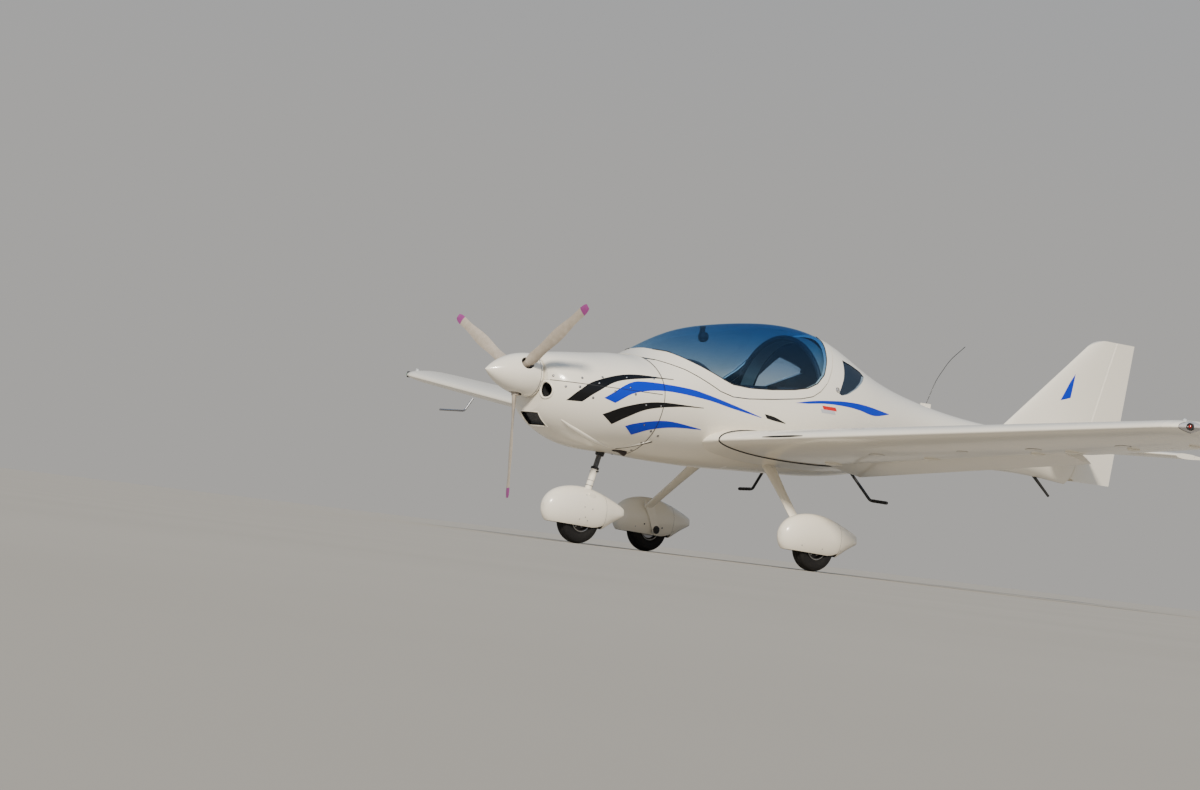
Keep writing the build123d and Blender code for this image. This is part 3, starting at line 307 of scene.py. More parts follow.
def blade_material():
    """Beige-grey blades with a coloured tip band, by distance from the hub in the plane of rotation."""
    m, nt, bsdf, out = node_material("blade_finish")
    t = Tree(nt)
    vec, x, y, z = t.coords()
    dz = t.math("SUBTRACT", z, AXIS_Z)
    r = t.math("SQRT", t.math("ADD", t.math("MULTIPLY", x, x), t.math("MULTIPLY", dz, dz)))
    n = t.noise(vec, 30.0, 4)
    body = t.ramp(n, [(0.3, (0.42, 0.36, 0.29)), (0.7, (0.50, 0.435, 0.36))])
    tip = t.ramp(n, [(0.3, (0.27, 0.045, 0.20)), (0.7, (0.34, 0.065, 0.26))])
    f = t.math("GREATER_THAN", r, 0.815)
    t.link(t.mix(f, body, tip), bsdf.inputs["Base Color"])
    t.link(t.math("ADD", 0.30, t.math("MULTIPLY", n, 0.12)), bsdf.inputs["Roughness"])
    t.bump(t.noise(vec, 260.0, 2), 0.08, 0.0006, bsdf)
    return m


def glass_material(name, top, low, z_low, z_high, opacity_low, opacity_high, gloss_share):
    """Tinted acrylic: the tint deepens towards the top, and it stays clear enough to see through."""
    m, nt, bsdf, out = node_material(name)
    t = Tree(nt)
    vec, x, y, z = t.coords()
    k = t.math("DIVIDE", t.math("SUBTRACT", z, z_low), z_high - z_low, clamp=True)
    n = t.noise(vec, 3.0, 3)
    kk = t.math("ADD", t.math("POWER", k, 0.85), t.math("MULTIPLY", t.math("SUBTRACT", n, 0.5), 0.08), clamp=True)
    tint = t.mix(kk, low, top)
    trans = t.new("ShaderNodeBsdfTransparent")
    t.link(tint, trans.inputs[0])
    gloss = t.new("ShaderNodeBsdfGlossy")
    gloss.inputs["Roughness"].default_value = 0.03
    fr = t.new("ShaderNodeFresnel")
    fr.inputs["IOR"].default_value = 1.49
    mix = t.new("ShaderNodeMixShader")
    t.link(t.math("MULTIPLY", fr.outputs[0], gloss_share), mix.inputs[0])
    t.link(trans.outputs[0], mix.inputs[1])
    t.link(gloss.outputs[0], mix.inputs[2])
    film = t.new("ShaderNodeBsdfDiffuse")
    t.link(t.mix(kk, tuple(c ** 3 for c in low), tuple(c ** 3 for c in top)), film.inputs[0])
    mix2 = t.new("ShaderNodeMixShader")
    t.link(t.math("ADD", opacity_low, t.math("MULTIPLY", kk, opacity_high - opacity_low)), mix2.inputs[0])
    t.link(mix.outputs[0], mix2.inputs[1])
    t.link(film.outputs[0], mix2.inputs[2])
    t.link(mix2.outputs[0], out.inputs[0])
    nt.nodes.remove(bsdf)
    return m


tyre_mat = tyre_material()
blade_mat = blade_material()
canopy_mat = glass_material("canopy_tint", (0.38, 0.60, 0.82), (0.88, 0.945, 0.98), Z(0.20), Z(0.60), 0.0, 0.006, 0.13)
window_mat = glass_material("window_tint", (0.80, 0.87, 0.95), (0.82, 0.89, 0.96), Z(0.20), Z(0.50), 0.0, 0.0, 0.25)


def lens_material(name, color):
    m, nt, bsdf, out = node_material(name)
    t = Tree(nt)
    vec, x, y, z = t.coords()
    n = t.noise(vec, 160.0, 2)
    t.link(t.ramp(n, [(0.3, tuple(c * 0.8 for c in color)), (0.7, color)]), bsdf.inputs["Base Color"])
    bsdf.inputs["Roughness"].default_value = 0.08
    bsdf.inputs["Transmission Weight"].default_value = 0.35
    bsdf.inputs["Coat Weight"].default_value = 0.8
    return m


red_lens = lens_material("port_lens", (0.62, 0.02, 0.015))
green_lens = lens_material("starboard_lens", (0.01, 0.40, 0.12))


def assign(mat, *names):
    for n in names:
        o = NODES[n]
        o.data.materials.clear()
        o.data.materials.append(mat)
        for p in o.data.polygons:
            p.material_index = 0


assign(white, "upper_cowling", "lower_cowling", "left_wing", "right_wing", "left_wing_root", "right_wing_root",
       "vertical_fin", "rudder", "tailplane", "elevator", "left_flap", "right_flap", "left_aileron", "right_aileron",
       "left_wheel_fairing", "right_wheel_fairing", "nose_wheel_fairing", "left_gear_leg", "right_gear_leg",
       "nose_fork", "spinner")
assign(white_shell, "fuselage_shell", "canopy_frame")
assign(canopy_mat, "canopy_glass")
assign(window_mat, "left_rear_window", "right_rear_window")
assign(dark_steel, "firewall", "canopy_hinge", "canopy_lugs")
assign(leg_tube, "nose_leg_upper")
assign(steel, "left_axle", "right_axle", "nose_axle", "propeller_hub", "pitot_tube")
assign(engine_metal, "engine_block")
assign(exhaust_metal, "exhaust_pipe")
assign(step_black, "left_boarding_step", "right_boarding_step", "antenna")
# the antenna's foot is painted like the skin, its whip is dark
foot = NODES["antenna"].data
foot.materials.append(white)
for poly in foot.polygons:
    if poly.center.z < Z(0.246):
        poly.material_index = 1
assign(skid_black, "tail_skid")
assign(tyre_mat, "left_tyre", "right_tyre", "nose_tyre")
assign(rim_dark, "left_wheel_rim", "right_wheel_rim", "nose_wheel_rim")
assign(blade_mat, "propeller_blades")
assign(dark_trim, "instrument_panel", "center_console", "compass", "seat_base", "left_seat", "right_seat")
assign(hoop_trim, "rollover_hoop")
assign(carpet, "cabin_floor", "rear_bulkhead")
clear_lens = lens_material("tip_lens", (0.80, 0.76, 0.76))
assign(clear_lens, "left_nav_light", "right_nav_light")

# ---------------------------------------------------------------------------
# helpers for added pieces
# ---------------------------------------------------------------------------
from mathutils.geometry import delaunay_2d_cdt

UP = Vector((0, 0, 1))


def tree_of(*names):
    verts, faces = [], []
    for n in names:
        me = NODES[n].data
        base = len(verts)
        verts += [v.co.copy() for v in me.vertices]
        faces += [[base + i for i in p.vertices] for p in me.polygons]
    return BVHTree.FromPolygons(verts, faces)


class Pile:
    """Collects parts of one piece and makes one object of them."""

    def __init__(self):
        self.v, self.f = [], []

    def add(self, verts, faces):
        base = len(self.v)
        self.v += [Vector(v) for v in verts]
        self.f += [[base + i for i in f] for f in faces]
        return self

    def mirrored(self):
        other = Pile()
        other.v = [Vector((-v.x, v.y, v.z)) for v in self.v]
        other.f = [list(reversed(f)) for f in self.f]
        return other

    def make(self, name, mat, body, slot=None, sharp=38.0, both=False):
        if both:
            m = self.mirrored()
            self.add(m.v, m.f)
        me = bpy.data.meshes.new(name)
        me.from_pydata(self.v, [], self.f)
        me.validate()
        me.materials.append(mat)
        me.polygons.foreach_set("use_smooth", [True] * len(me.polygons))
        me.set_sharp_from_angle(angle=math.radians(sharp))
        me.update()
        o = bpy.data.objects.new(name, me)
        scene.collection.objects.link(o)
        if body:
            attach(o, body)
        return o


def basis(axis):
    a = Vector(axis).normalized()
    u = a.cross(UP) if abs(a.z) < 0.9 else a.cross(Vector((1, 0, 0)))
    u.normalize()
    return a, u, a.cross(u)


def lathe(centre, axis, profile, segs=48, closed=False):
    """Turned shape: profile is (distance along the axis, radius)."""
    a, u, w = basis(axis)
    c = Vector(centre)
    verts, faces = [], []
    n = len(profile)
    for i in range(segs):
        t = 2 * math.pi * i / segs
        d = u * math.cos(t) + w * math.sin(t)
        for h, r in profile:
            verts.append(c + a * h + d * r)
    last = n if closed else n - 1
    for i in range(segs):
        j = (i + 1) % segs
        for k in range(last):
            k2 = (k + 1) % n
            faces.append([i * n + k, j * n + k, j * n + k2, i * n + k2])
    if not closed:
        if profile[0][1] > 1e-6:
            faces.append([i * n for i in range(segs)][::-1])
        if profile[-1][1] > 1e-6:
            faces.append([i * n + n - 1 for i in range(segs)])
    return verts, faces


def disc(centre, axis, r, h, segs=24, bevel=0.25):
    b = min(h * 0.5, r * bevel)
    return lathe(centre, axis, [(-h, r), (0, r), (b * 0.6, r - b * 0.5), (b, r - b * 1.4), (b, 0.0001)], segs)


def ring(centre, axis, r, thick, segs=48, sides=10, squash=1.0):
    prof = [(thick * squash * math.sin(2 * math.pi * k / sides), r + thick * math.cos(2 * math.pi * k / sides))
            for k in range(sides)]
    return lathe(centre, axis, prof, segs, closed=True)


def tube_along(points, radius, sides=8, closed=False, flat=None):
    """Tube through points; radius may be a list. flat = (normals, factor) presses it flat along the normals."""
    pts = [Vector(p) for p in points]
    n = len(pts)
    radii = radius if hasattr(radius, "__len__") else [radius] * n
    verts, faces = [], []
    prev = None
    for i in range(n):
        if closed:
            t = (pts[(i + 1) % n] - pts[i - 1]).normalized()
        else:
            t = (pts[min(i + 1, n - 1)] - pts[max(i - 1, 0)]).normalized()
        if flat is not None:
            nn = Vector(flat[0][i])
            u = t.cross(nn).normalized()
        else:
            if prev is None:
                u = t.cross(UP) if abs(t.z) < 0.95 else t.cross(Vector((1, 0, 0)))
            else:
                u = prev - t * prev.dot(t)
            u.normalize()
        prev = u
        w = t.cross(u).normalized()
        for k in range(sides):
            a = 2 * math.pi * k / sides
            f = flat[1] if flat is not None else 1.0
            verts.append(pts[i] + u * math.cos(a) * radii[i] + w * math.sin(a) * radii[i] * f)
    for i in range(n if closed else n - 1):
        j = (i + 1) % n
        for k in range(sides):
            k2 = (k + 1) % sides
            faces.append([i * sides + k, j * sides + k, j * sides + k2, i * sides + k2])
    if not closed:
        faces.append(list(range(sides)))
        faces.append([(n - 1) * sides + k for k in range(sides)][::-1])
    return verts, faces


def catmull(points, per=8, closed=False):
    p = [tuple(map(float, q)) for q in points]
    n = len(p)
    out = []
    count = n if closed else n - 1
    for i in range(count):
        p0 = p[i - 1] if (i > 0 or closed) else tuple(2 * a - b for a, b in zip(p[0], p[1]))
        p1, p2 = p[i], p[(i + 1) % n]
        p3 = p[(i + 2) % n] if (i + 2 < n or closed) else tuple(2 * a - b for a, b in zip(p[-1], p[-2]))
        for k in range(per):
            t = k / per
            out.append(tuple(0.5 * (2 * b + (c - a) * t + (2 * a - 5 * b + 4 * c - d) * t * t
                                    + (3 * b - a - 3 * c + d) * t ** 3) for a, b, c, d in zip(p0, p1, p2, p3)))
    if not closed:
        out.append(p[-1])
    return out


def spread(points, step):
    """The same broken line with points no further than step apart."""
    out = []
    for a, b in zip(points[:-1], points[1:]):
        n = max(1, int(math.ceil(math.dist(a, b) / step)))
        for k in range(n):
            out.append(tuple(x + (y - x) * k / n for x, y in zip(a, b)))
    out.append(tuple(points[-1]))
    return out


def inside(p, poly):
    x, y = p
    hit = False
    for (x0, y0), (x1, y1) in zip(poly, poly[1:] + poly[:1]):
        if (y0 > y) != (y1 > y) and x < (x1 - x0) * (y - y0) / (y1 - y0) + x0:
            hit = not hit
    return hit


BODY = tree_of("fuselage_shell", "upper_cowling", "lower_cowling")
COWL = tree_of("upper_cowling", "lower_cowling")
CANOPY = tree_of("canopy_frame", "canopy_glass")
FIN = tree_of("vertical_fin")


def drop(tree, origin, direction, reach=5.0):
    """First surface met from origin along direction, with its normal turned towards origin."""
    d = Vector(direction).normalized()
    loc, nor, _, dist = tree.ray_cast(Vector(origin), d, reach)
    if loc is None:
        return None, None
    if nor.dot(d) > 0:
        nor = -nor
    return loc, nor


def on_side(tree, side, y, z, limit=0.0):
    """Outer skin at (y, z), looked at from the side; small gaps are bridged from beside them."""
    best = None
    for dy, dz in ((0, 0), (0.0035, 0), (-0.0035, 0), (0, 0.0035), (0, -0.0035), (0.008, 0), (-0.008, 0)):
        loc, nor = drop(tree, (side * 2.0, y + dy, z + dz), (-side, 0, 0))
        if loc is not None and (best is None or abs(loc.x) > abs(best[0].x) + 0.012):
            best = (Vector((loc.x, y, z)), nor)
    return best if best else (None, None)


def decal(name, outline, mat, tree=None, sides=(1, -1), lift=0.0012, grid=0.022, body="airframe", slot=None):
    """A painted shape: an outline in (y, z) laid on the skin of both sides."""
    tree = tree or BODY
    loop = spread(list(outline) + [outline[0]], grid * 0.7)[:-1]
    ys, zs = [p[0] for p in loop], [p[1] for p in loop]
    pts = [Vector(p) for p in loop]
    y = min(ys) + grid / 2
    while y < max(ys):
        z = min(zs) + grid / 2
        while z < max(zs):
            if inside((y, z), loop) and min(math.dist((y, z), q) for q in loop) > grid * 0.35:
                pts.append(Vector((y, z)))
            z += grid
        y += grid
    n = len(loop)
    vs, _, fs, *_ = delaunay_2d_cdt(pts, [], [list(range(n))], 1, 1e-6)
    pile = Pile()
    for side in sides:
        out, ok = [], []
        for v in vs:
            loc, nor = on_side(tree, side, v.x, v.y)
            ok.append(loc is not None)
            out.append(Vector((0, v.x, v.y)) if loc is None else loc + nor * lift)
        faces = [list(f) if side < 0 else list(reversed(f)) for f in fs if all(ok[i] for i in f)]
        pile.add(out, faces)
    return pile.make(name, mat, body, slot, sharp=60)


def ribbon_on(points, normals, width, lift, closed=False):
    """Flat band along points that lie on a surface."""
    pts = [Vector(p) for p in points]
    n = len(pts)
    verts, faces = [], []
    for i in range(n):
        a = pts[i - 1] if (i > 0 or closed) else pts[i]
        b = pts[(i + 1) % n] if (i < n - 1 or closed) else pts[i]
        t = (b - a).normalized()
        nn = Vector(normals[i]).normalized()
        w = t.cross(nn).normalized() * (width / 2)
        c = pts[i] + nn * lift
        verts += [c - w, c + w]
    for i in range(n if closed else n - 1):
        j = (i + 1) % n
        faces.append([2 * i, 2 * i + 1, 2 * j + 1, 2 * j])
    return verts, faces


# ---------------------------------------------------------------------------
# painted stripes and bands
# ---------------------------------------------------------------------------
def stripe(top, bottom):
    return [(y, Z(z)) for y, z in catmull(top, 6) + catmull(bottom, 6)]


STRIPES = [
    ("stripe_black_upper", black,
     [(-2.690, -0.150), (-2.620, -0.068), (-2.502, 0.014), (-2.225, 0.092), (-1.876, 0.101)],
     [(-1.876, 0.097), (-2.060, 0.084), (-2.333, 0.030), (-2.503, -0.070), (-2.590, -0.146)]),
    ("stripe_blue_upper", blue,
     [(-2.440, -0.100), (-2.251, 0.025), (-2.096, 0.056), (-1.789, 0.051), (-1.589, 0.021), (-1.112, -0.080)],
     [(-1.112, -0.084), (-1.400, -0.046), (-1.619, -0.012), (-1.953, 0.008), (-2.200, -0.034), (-2.350, -0.125)]),
    ("stripe_black_lower", black,
     [(-2.420, -0.215), (-2.253, -0.135), (-2.011, -0.078), (-1.632, -0.072)],
     [(-1.632, -0.076), (-1.832, -0.089), (-2.075, -0.135), (-2.225, -0.210), (-2.320, -0.275)]),
    ("stripe_blue_lower", blue,
     [(-2.210, -0.275), (-2.143, -0.248), (-2.001, -0.213), (-1.850, -0.201), (-1.597, -0.225)],
     [(-1.597, -0.229), (-1.825, -0.240), (-2.000, -0.276), (-2.120, -0.330)]),
    ("stripe_blue_rear", blue,
     [(-0.815, 0.061), (-0.660, 0.092), (-0.499, 0.112), (-0.289, 0.128), (-0.062, 0.124), (0.233, 0.092)],
     [(0.233, 0.088), (0.042, 0.059), (-0.133, 0.081), (-0.287, 0.092), (-0.497, 0.090), (-0.690, 0.070)]),
    ("stripe_black_tick", black,
     [(-1.090, -0.052), (-0.990, -0.064), (-0.877, -0.096)],
     [(-0.877, -0.100), (-0.980, -0.092), (-1.060, -0.082)]),
]
for name, mat, top, bottom in STRIPES:
    decal(name, stripe(top, bottom), mat)

# two small plain patches under the canopy, and plain bands ahead of the fin
grey_patch = gloss_paint("patch_grey", (0.55, 0.56, 0.60), rough=0.3)
for name, mat, z0, z1, y0, y1 in (("patch_red_side", red, 0.046, 0.072, -0.530, -0.390),
                                  ("patch_grey_side", grey_patch, 0.020, 0.046, -0.545, -0.400)):
    decal(name, [(y0, Z(z0)), (y1, Z(z0)), (y1 - 0.016, Z(z1)), (y0 - 0.016, Z(z1))], mat, grid=0.02)
for name, mat, z0, z1 in (("band_black", black, -0.022, 0.018), ("band_red", red, -0.066, -0.022),
                          ("band_gold", gold, -0.112, -0.066)):
    decal(name, [(1.850 - z0 * 0.22, Z(z0)), (2.045 - z0 * 0.22, Z(z0)), (2.045 - z1 * 0.22, Z(z1)), (1.850 - z1 * 0.22, Z(z1))],
          mat, grid=0.03)
decal("fin_wedge", [(2.403, Z(0.434)), (2.510, Z(0.465)), (2.547, Z(0.662)), (2.492, Z(0.586))], blue, tree=FIN, grid=0.03)

# ---------------------------------------------------------------------------
# seams of the cowling and the skin
# ---------------------------------------------------------------------------
seams = Pile()
ringpts, ringnor = [], []
for i in range(180):
    t = 2 * math.pi * i / 180
    d = Vector((math.cos(t), 0, math.sin(t)))
    loc, nor = drop(BODY, Vector((0, -1.9585, Z(-0.09))) + d * 2.0, -d)
    if loc is not None and (loc - Vector((0, -1.9585, Z(-0.09)))).length > 0.25:
        ringpts.append(Vector((loc.x, -1.9655, loc.z)))
        ringnor.append(nor)
seams.add(*ribbon_on(ringpts, ringnor, 0.0055, 0.0019, closed=True))
for side in (1, -1):
    rows = [on_side(COWL, side, -2.783 + 0.0205 * i, Z(-0.0205)) for i in range(40)]
    rows = [r for r in rows if r[0] is not None]
    seams.add(*ribbon_on([r[0] for r in rows], [r[1] for r in rows], 0.0050, 0.0019))
    # oil door seam on the upper half
    corner = []
    for y, z in ((-2.42, 0.120), (-2.18, 0.130), (-2.18, 0.190), (-2.42, 0.182)):
        corner.append((y, Z(z)))
    if side < 0:
        loop = spread(corner + [corner[0]], 0.02)[:-1]
        rows = [on_side(COWL, side, y, z) for y, z in loop]
        rows = [r for r in rows if r[0] is not None]
        seams.add(*ribbon_on([r[0] for r in rows], [r[1] for r in rows], 0.003, 0.0012, closed=True))
seams.make("skin_seams", rubber_seal, "airframe", "black_trim")

# quarter-turn fasteners: a steel head in a shallow dark ring
FASTENERS = [(-2.253, 0.067), (-2.033, 0.087), (-2.106, -0.110), (-1.985, -0.104), (-2.066, -0.249), (-1.906, -0.313),
             (-2.520, -0.110), (-2.447, 0.044), (-2.770, 0.011), (-2.707, -0.055), (-2.60, 0.02), (-2.36, -0.045),
             (-2.20, -0.045), (-2.62, -0.045), (-2.48, -0.002), (-2.24, -0.002)]
heads, cups = Pile(), Pile()
for side in (1, -1):
    for y, z in FASTENERS:
        loc, nor = on_side(BODY, side, y, Z(z))
        if loc is None:
            continue
        heads.add(*disc(loc + nor * 0.0016, nor, 0.0058, 0.003, 16))
        cups.add(*disc(loc + nor * 0.0012, nor, 0.0088, 0.002, 20))
for i in range(9):
    t = math.radians(205 + i * 16.2)
    d = Vector((math.cos(t), 0, math.sin(t)))
    for y in (-1.985,):
        loc, nor = drop(BODY, Vector((0, y, Z(-0.09))) + d * 2.0, -d)
        if loc is not None:
            heads.add(*disc(loc + nor * 0.0016, nor, 0.0058, 0.003, 16))
            cups.add(*disc(loc + nor * 0.0012, nor, 0.0088, 0.002, 20))
heads.make("cowl_fastener_heads", steel, "airframe", "steel")
cups.make("cowl_fastener_rings", dark_steel, "airframe", "steel")

# inlets: rolled bright lip and a tapering duct; chin intake with a finned core
lips, ducts = Pile(), Pile()
for x in (-0.186, 0.186):
    pts, nors = [], []
    for i in range(48):
        t = 2 * math.pi * i / 48
        px, pz = x + 0.0590 * math.cos(t), Z(-0.092) + 0.0590 * math.sin(t)
        loc, nor = drop(COWL, (px, -3.4, pz), (0, 1, 0))
        if loc is None or loc.y > -2.60:
            continue
        pts.append(loc)
        nors.append(nor)
    lips.add(*tube_along(pts, 0.0080, 12, closed=True))
    back = max(p.y for p in pts)
    front = min(p.y for p in pts)
    c = Vector((x, 0, Z(-0.092)))
    ducts.add(*lathe(c, (0, 1, 0), [(back - 0.004, 0.0512), (back + 0.06, 0.050), (-2.60, 0.062), (-2.60, 0.066), (back + 0.06, 0.054),
                                    (back - 0.004, 0.0535)], 36, closed=True))
lips.make("inlet_lips", white, "airframe", "white_gelcoat")
ducts.make("inlet_ducts", dark_trim, "airframe", "black_trim")
fins, tank = Pile(), Pile()
for i in range(26):
    x = -0.092 + i * 0.00768
    y0, y1, up, z0, z1, h = -2.662, -2.630, -0.070, Z(-0.340), Z(-0.260), 0.0008
    v = [(x - h, y0, z0), (x + h, y0, z0), (x + h, y1, z0), (x - h, y1, z0), (x - h, y0 + up, z1), (x + h, y0 + up, z1), (x + h, y1 + up, z1), (x - h, y1 + up, z1)]
    fins.add(v, [[0, 1, 5, 4], [1, 2, 6, 5], [2, 3, 7, 6], [3, 0, 4, 7], [4, 5, 6, 7], [3, 2, 1, 0]])
for k in range(5):
    tank.add(*tube_along([(-0.094, -2.650 - 0.0155 * k, Z(-0.335 + k * 0.0175)), (0.104, -2.650 - 0.0155 * k, Z(-0.335 + k * 0.0175))], 0.0040, 8))
fins.make("cooler_fins", cooler_grey, "airframe", "steel")
tank.make("cooler_tubes", cooler_grey, "airframe", "steel")
frame_pts = spread([(-0.100, Z(-0.347)), (0.110, Z(-0.347)), (0.110, Z(-0.254)), (-0.100, Z(-0.254)), (-0.100, Z(-0.347))], 0.012)[:-1]
pts = []
for px, pz in frame_pts:
    loc, nor = drop(COWL, (px, -3.4, pz), (0, 1, 0))
    if loc is not None and loc.y < -2.55:
        pts.append(loc)
Pile().add(*tube_along(pts, 0.0036, 8, closed=True)).make("chin_intake_lip", white, "airframe", "white_gelcoat")
# shroud round the cooler, seen as the dark frame behind the lip
shroud = Pile()
for k, (x0, x1, z0, z1) in enumerate(((-0.104, -0.092, -0.350, -0.250), (0.101, 0.113, -0.350, -0.250), (-0.104, 0.113, -0.350, -0.339), (-0.104, 0.113, -0.262, -0.251))):
    v = [(x, y - 0.87 * (z + 0.350), Z(z)) for y in (-2.668, -2.600) for x, z in ((x0, z0), (x1, z0), (x1, z1), (x0, z1))]
    shroud.add(v, [[0, 3, 2, 1], [4, 5, 6, 7], [0, 1, 5, 4], [1, 2, 6, 5], [2, 3, 7, 6], [3, 0, 4, 7]])
shroud.make("cooler_shroud", dark_trim, "airframe", "black_trim")

# crease along the cowling's chin
CREASE = [(0.235, -2.661, -0.288), (0.245, -2.596, -0.321), (0.252, -2.517, -0.352), (0.247, -2.429, -0.382),
          (0.234, -2.342, -0.406), (0.217, -2.255, -0.423), (0.188, -2.155, -0.438)]
for side, tag in ((1, "left"), (-1, "right")):
    pts, nors = [], []
    for x, y, z in catmull(CREASE, 5):
        centre = Vector((0, y, Z(-0.12)))
        p = Vector((side * x, y, Z(z)))
        d = (p - centre).normalized()
        loc, nor = drop(COWL, centre + d * 1.5, -d)
        if loc is not None:
            pts.append(loc + nor * 0.0005)
            nors.append(nor)
    n = len(pts)
    r = [0.002 + 0.017 * math.sin(math.pi * i / (n - 1)) ** 0.6 for i in range(n)]
    Pile().add(*tube_along(pts, r, 12, flat=(nors, 0.50))).make(f"{tag}_chin_crease", white, "airframe", "white_gelcoat", sharp=80)

# rear lip of the lower cowling, with a dark strip behind and below it that is painted shadow of the step
LIP = [(0.202, -2.129, -0.433), (0.251, -2.060, -0.414), (0.299, -2.003, -0.389), (0.357, -1.926, -0.354)]
lip, lip_shadow = Pile(), Pile()
for side in (1, -1):
    pts, nors = [], []
    for x, y, z in catmull(LIP, 8):
        centre = Vector((0, y, Z(-0.12)))
        d = (Vector((side * x, y, Z(z))) - centre).normalized()
        loc, nor = drop(BODY, centre + d * 1.5, -d)
        if loc is not None:
            pts.append(loc)
            nors.append(nor)
    # the hits step where cowling and shell meet, so the line is eased
    for _ in range(8):
        pts = [pts[0]] + [(a + b * 2 + c) / 4 for a, b, c in zip(pts[:-2], pts[1:-1], pts[2:])] + [pts[-1]]
        nors = [nors[0]] + [(a + b * 2 + c).normalized() for a, b, c in zip(nors[:-2], nors[1:-1], nors[2:])] + [nors[-1]]
    # the dark strip laid just behind and below the lip is painted shadow of the step
    back = [q + Vector((0, 0.010, 0)) - UP * 0.004 for q in pts]
    n = len(pts)
    lip.add(*tube_along(pts, [0.0015 + 0.0065 * math.sin(math.pi * i / (n - 1)) ** 0.4 for i in range(n)], 10, flat=(nors, 0.8)))
    lip_shadow.add(*ribbon_on(back, nors, 0.012, 0.0016))
lip.make("cowl_outlet_lip", white, "airframe", "white_gelcoat", sharp=70)
lip_shadow.make("cowl_outlet_painted_shadow", dark_trim, "airframe", "black_trim")

# ---------------------------------------------------------------------------
# canopy: seal along the sill, glass edge seal, latch, hoop trim
# ---------------------------------------------------------------------------
SEAM = [(-1.956, 0.340), (-1.956, 0.242), (-1.905, 0.236), (-1.760, 0.188), (-1.610, 0.118), (-1.500, 0.066), (-1.390, 0.040),
        (-1.250, 0.042), (-1.020, 0.066), (-0.757, 0.101), (-0.640, 0.130), (-0.560, 0.176), (-0.481, 0.248), (-0.408, 0.350),
        (-0.356, 0.433), (-0.292, 0.516), (-0.235, 0.575)]
GLASS = [(-1.826, 0.316), (-1.784, 0.308), (-1.751, 0.286), (-1.691, 0.252), (-1.566, 0.195), (-1.457, 0.148),
         (-1.390, 0.126), (-1.239, 0.118), (-1.033, 0.131), (-0.822, 0.156), (-0.691, 0.182), (-0.587, 0.228), (-0.504, 0.300),
         (-0.435, 0.406), (-0.389, 0.488), (-0.347, 0.545), (-0.300, 0.600)]
edge = Pile()
for side in (1, -1):
    pts, nors = [], []
    for y, z in spread(GLASS, 0.02):
        loc, nor = on_side(CANOPY, side, y, Z(z))
        if loc is not None and abs(nor.x) > 0.12:
            pts.append(loc)
            nors.append(nor)
    edge.add(*tube_along(pts, 0.0042, 8, flat=(nors, 0.5)))
edge.make("glass_edge_seal", rubber_seal, "canopy", "black_trim")

sill = Pile()
for side in (1, -1):
    pts = []
    line = spread(SEAM[2:], 0.025)
    for i, (y, z) in enumerate(line):
        a, b = line[max(i - 1, 0)], line[min(i + 1, len(line) - 1)]
        dy, dz = b[0] - a[0], b[1] - a[1]
        size = math.hypot(dy, dz)
        yo, zo = y + dz / size * 0.0065, z - dy / size * 0.0065
        loc, nor = on_side(BODY, side, yo + dz / size * 0.004, Z(zo - dy / size * 0.004))
        if loc is not None and abs(loc.x) > 0.2:
            inward = Vector((0, dz / size, -dy / size))
            pts.append(loc - nor * 0.012 - inward * 0.0052)
    sill.add(*tube_along(pts, 0.0022, 8))
sill.make("sill_seal", rubber_seal, "airframe", "black_trim")

latch = Pile()
for side in (1, -1):
    loc, nor = on_side(tree_of("fuselage_shell"), side, -0.380, Z(0.205))
    if loc is not None:
        latch.add(*ring(loc + nor * 0.002, nor, 0.017, 0.0030, 32, 8))
        latch.add(*disc(loc + nor * 0.0025, nor, 0.009, 0.004, 20))
latch.make("canopy_latches", steel, "airframe", "steel")

hoop = Pile()
for y in (-0.352, -0.488):
    pts = [(0.512 * math.cos(math.radians(a)), y, Z(0.0) + 0.563 * math.sin(math.radians(a))) for a in range(0, 181, 4)]
    pts = [(0.477, y, Z(-0.163))] + pts + [(-0.477, y, Z(-0.163))]
    hoop.add(*tube_along(pts, 0.0200, 10))
hoop.make("hoop_edge_trim", dark_trim, "airframe", "black_trim")

# compass: round housing on a bent arm, its card window turned to the seats
comp = Pile()
cc = Vector((0, -1.275, Z(0.472)))
comp.add(*lathe(cc, (0, 1, 0), [(-0.034, 0.0002), (-0.032, 0.018), (-0.022, 0.031), (0.000, 0.0365), (0.018, 0.036), (0.028, 0.033), (0.032, 0.029), (0.032, 0.024), (0.028, 0.023)], 36))
comp.add(*tube_along(catmull([(0, -1.280, Z(0.500)), (0.002, -1.290, Z(0.520)), (0.0, -1.296, Z(0.538))], 5), 0.0075, 10))
comp.add(*lathe(cc + Vector((0, 0, -0.040)), (0, 0, 1), [(0, 0.012), (0.003, 0.020), (0.010, 0.022), (0.014, 0.018)], 24))
comp.make("compass_housing", dark_trim, "canopy", "black_trim")
Pile().add(*disc(cc + Vector((0, 0.028, 0)), (0, 1, 0), 0.0235, 0.002, 32, bevel=0.02)).make("compass_card", plain("compass_card", (0.30, 0.29, 0.27), 0.3, scale=240), "canopy", "black_trim")

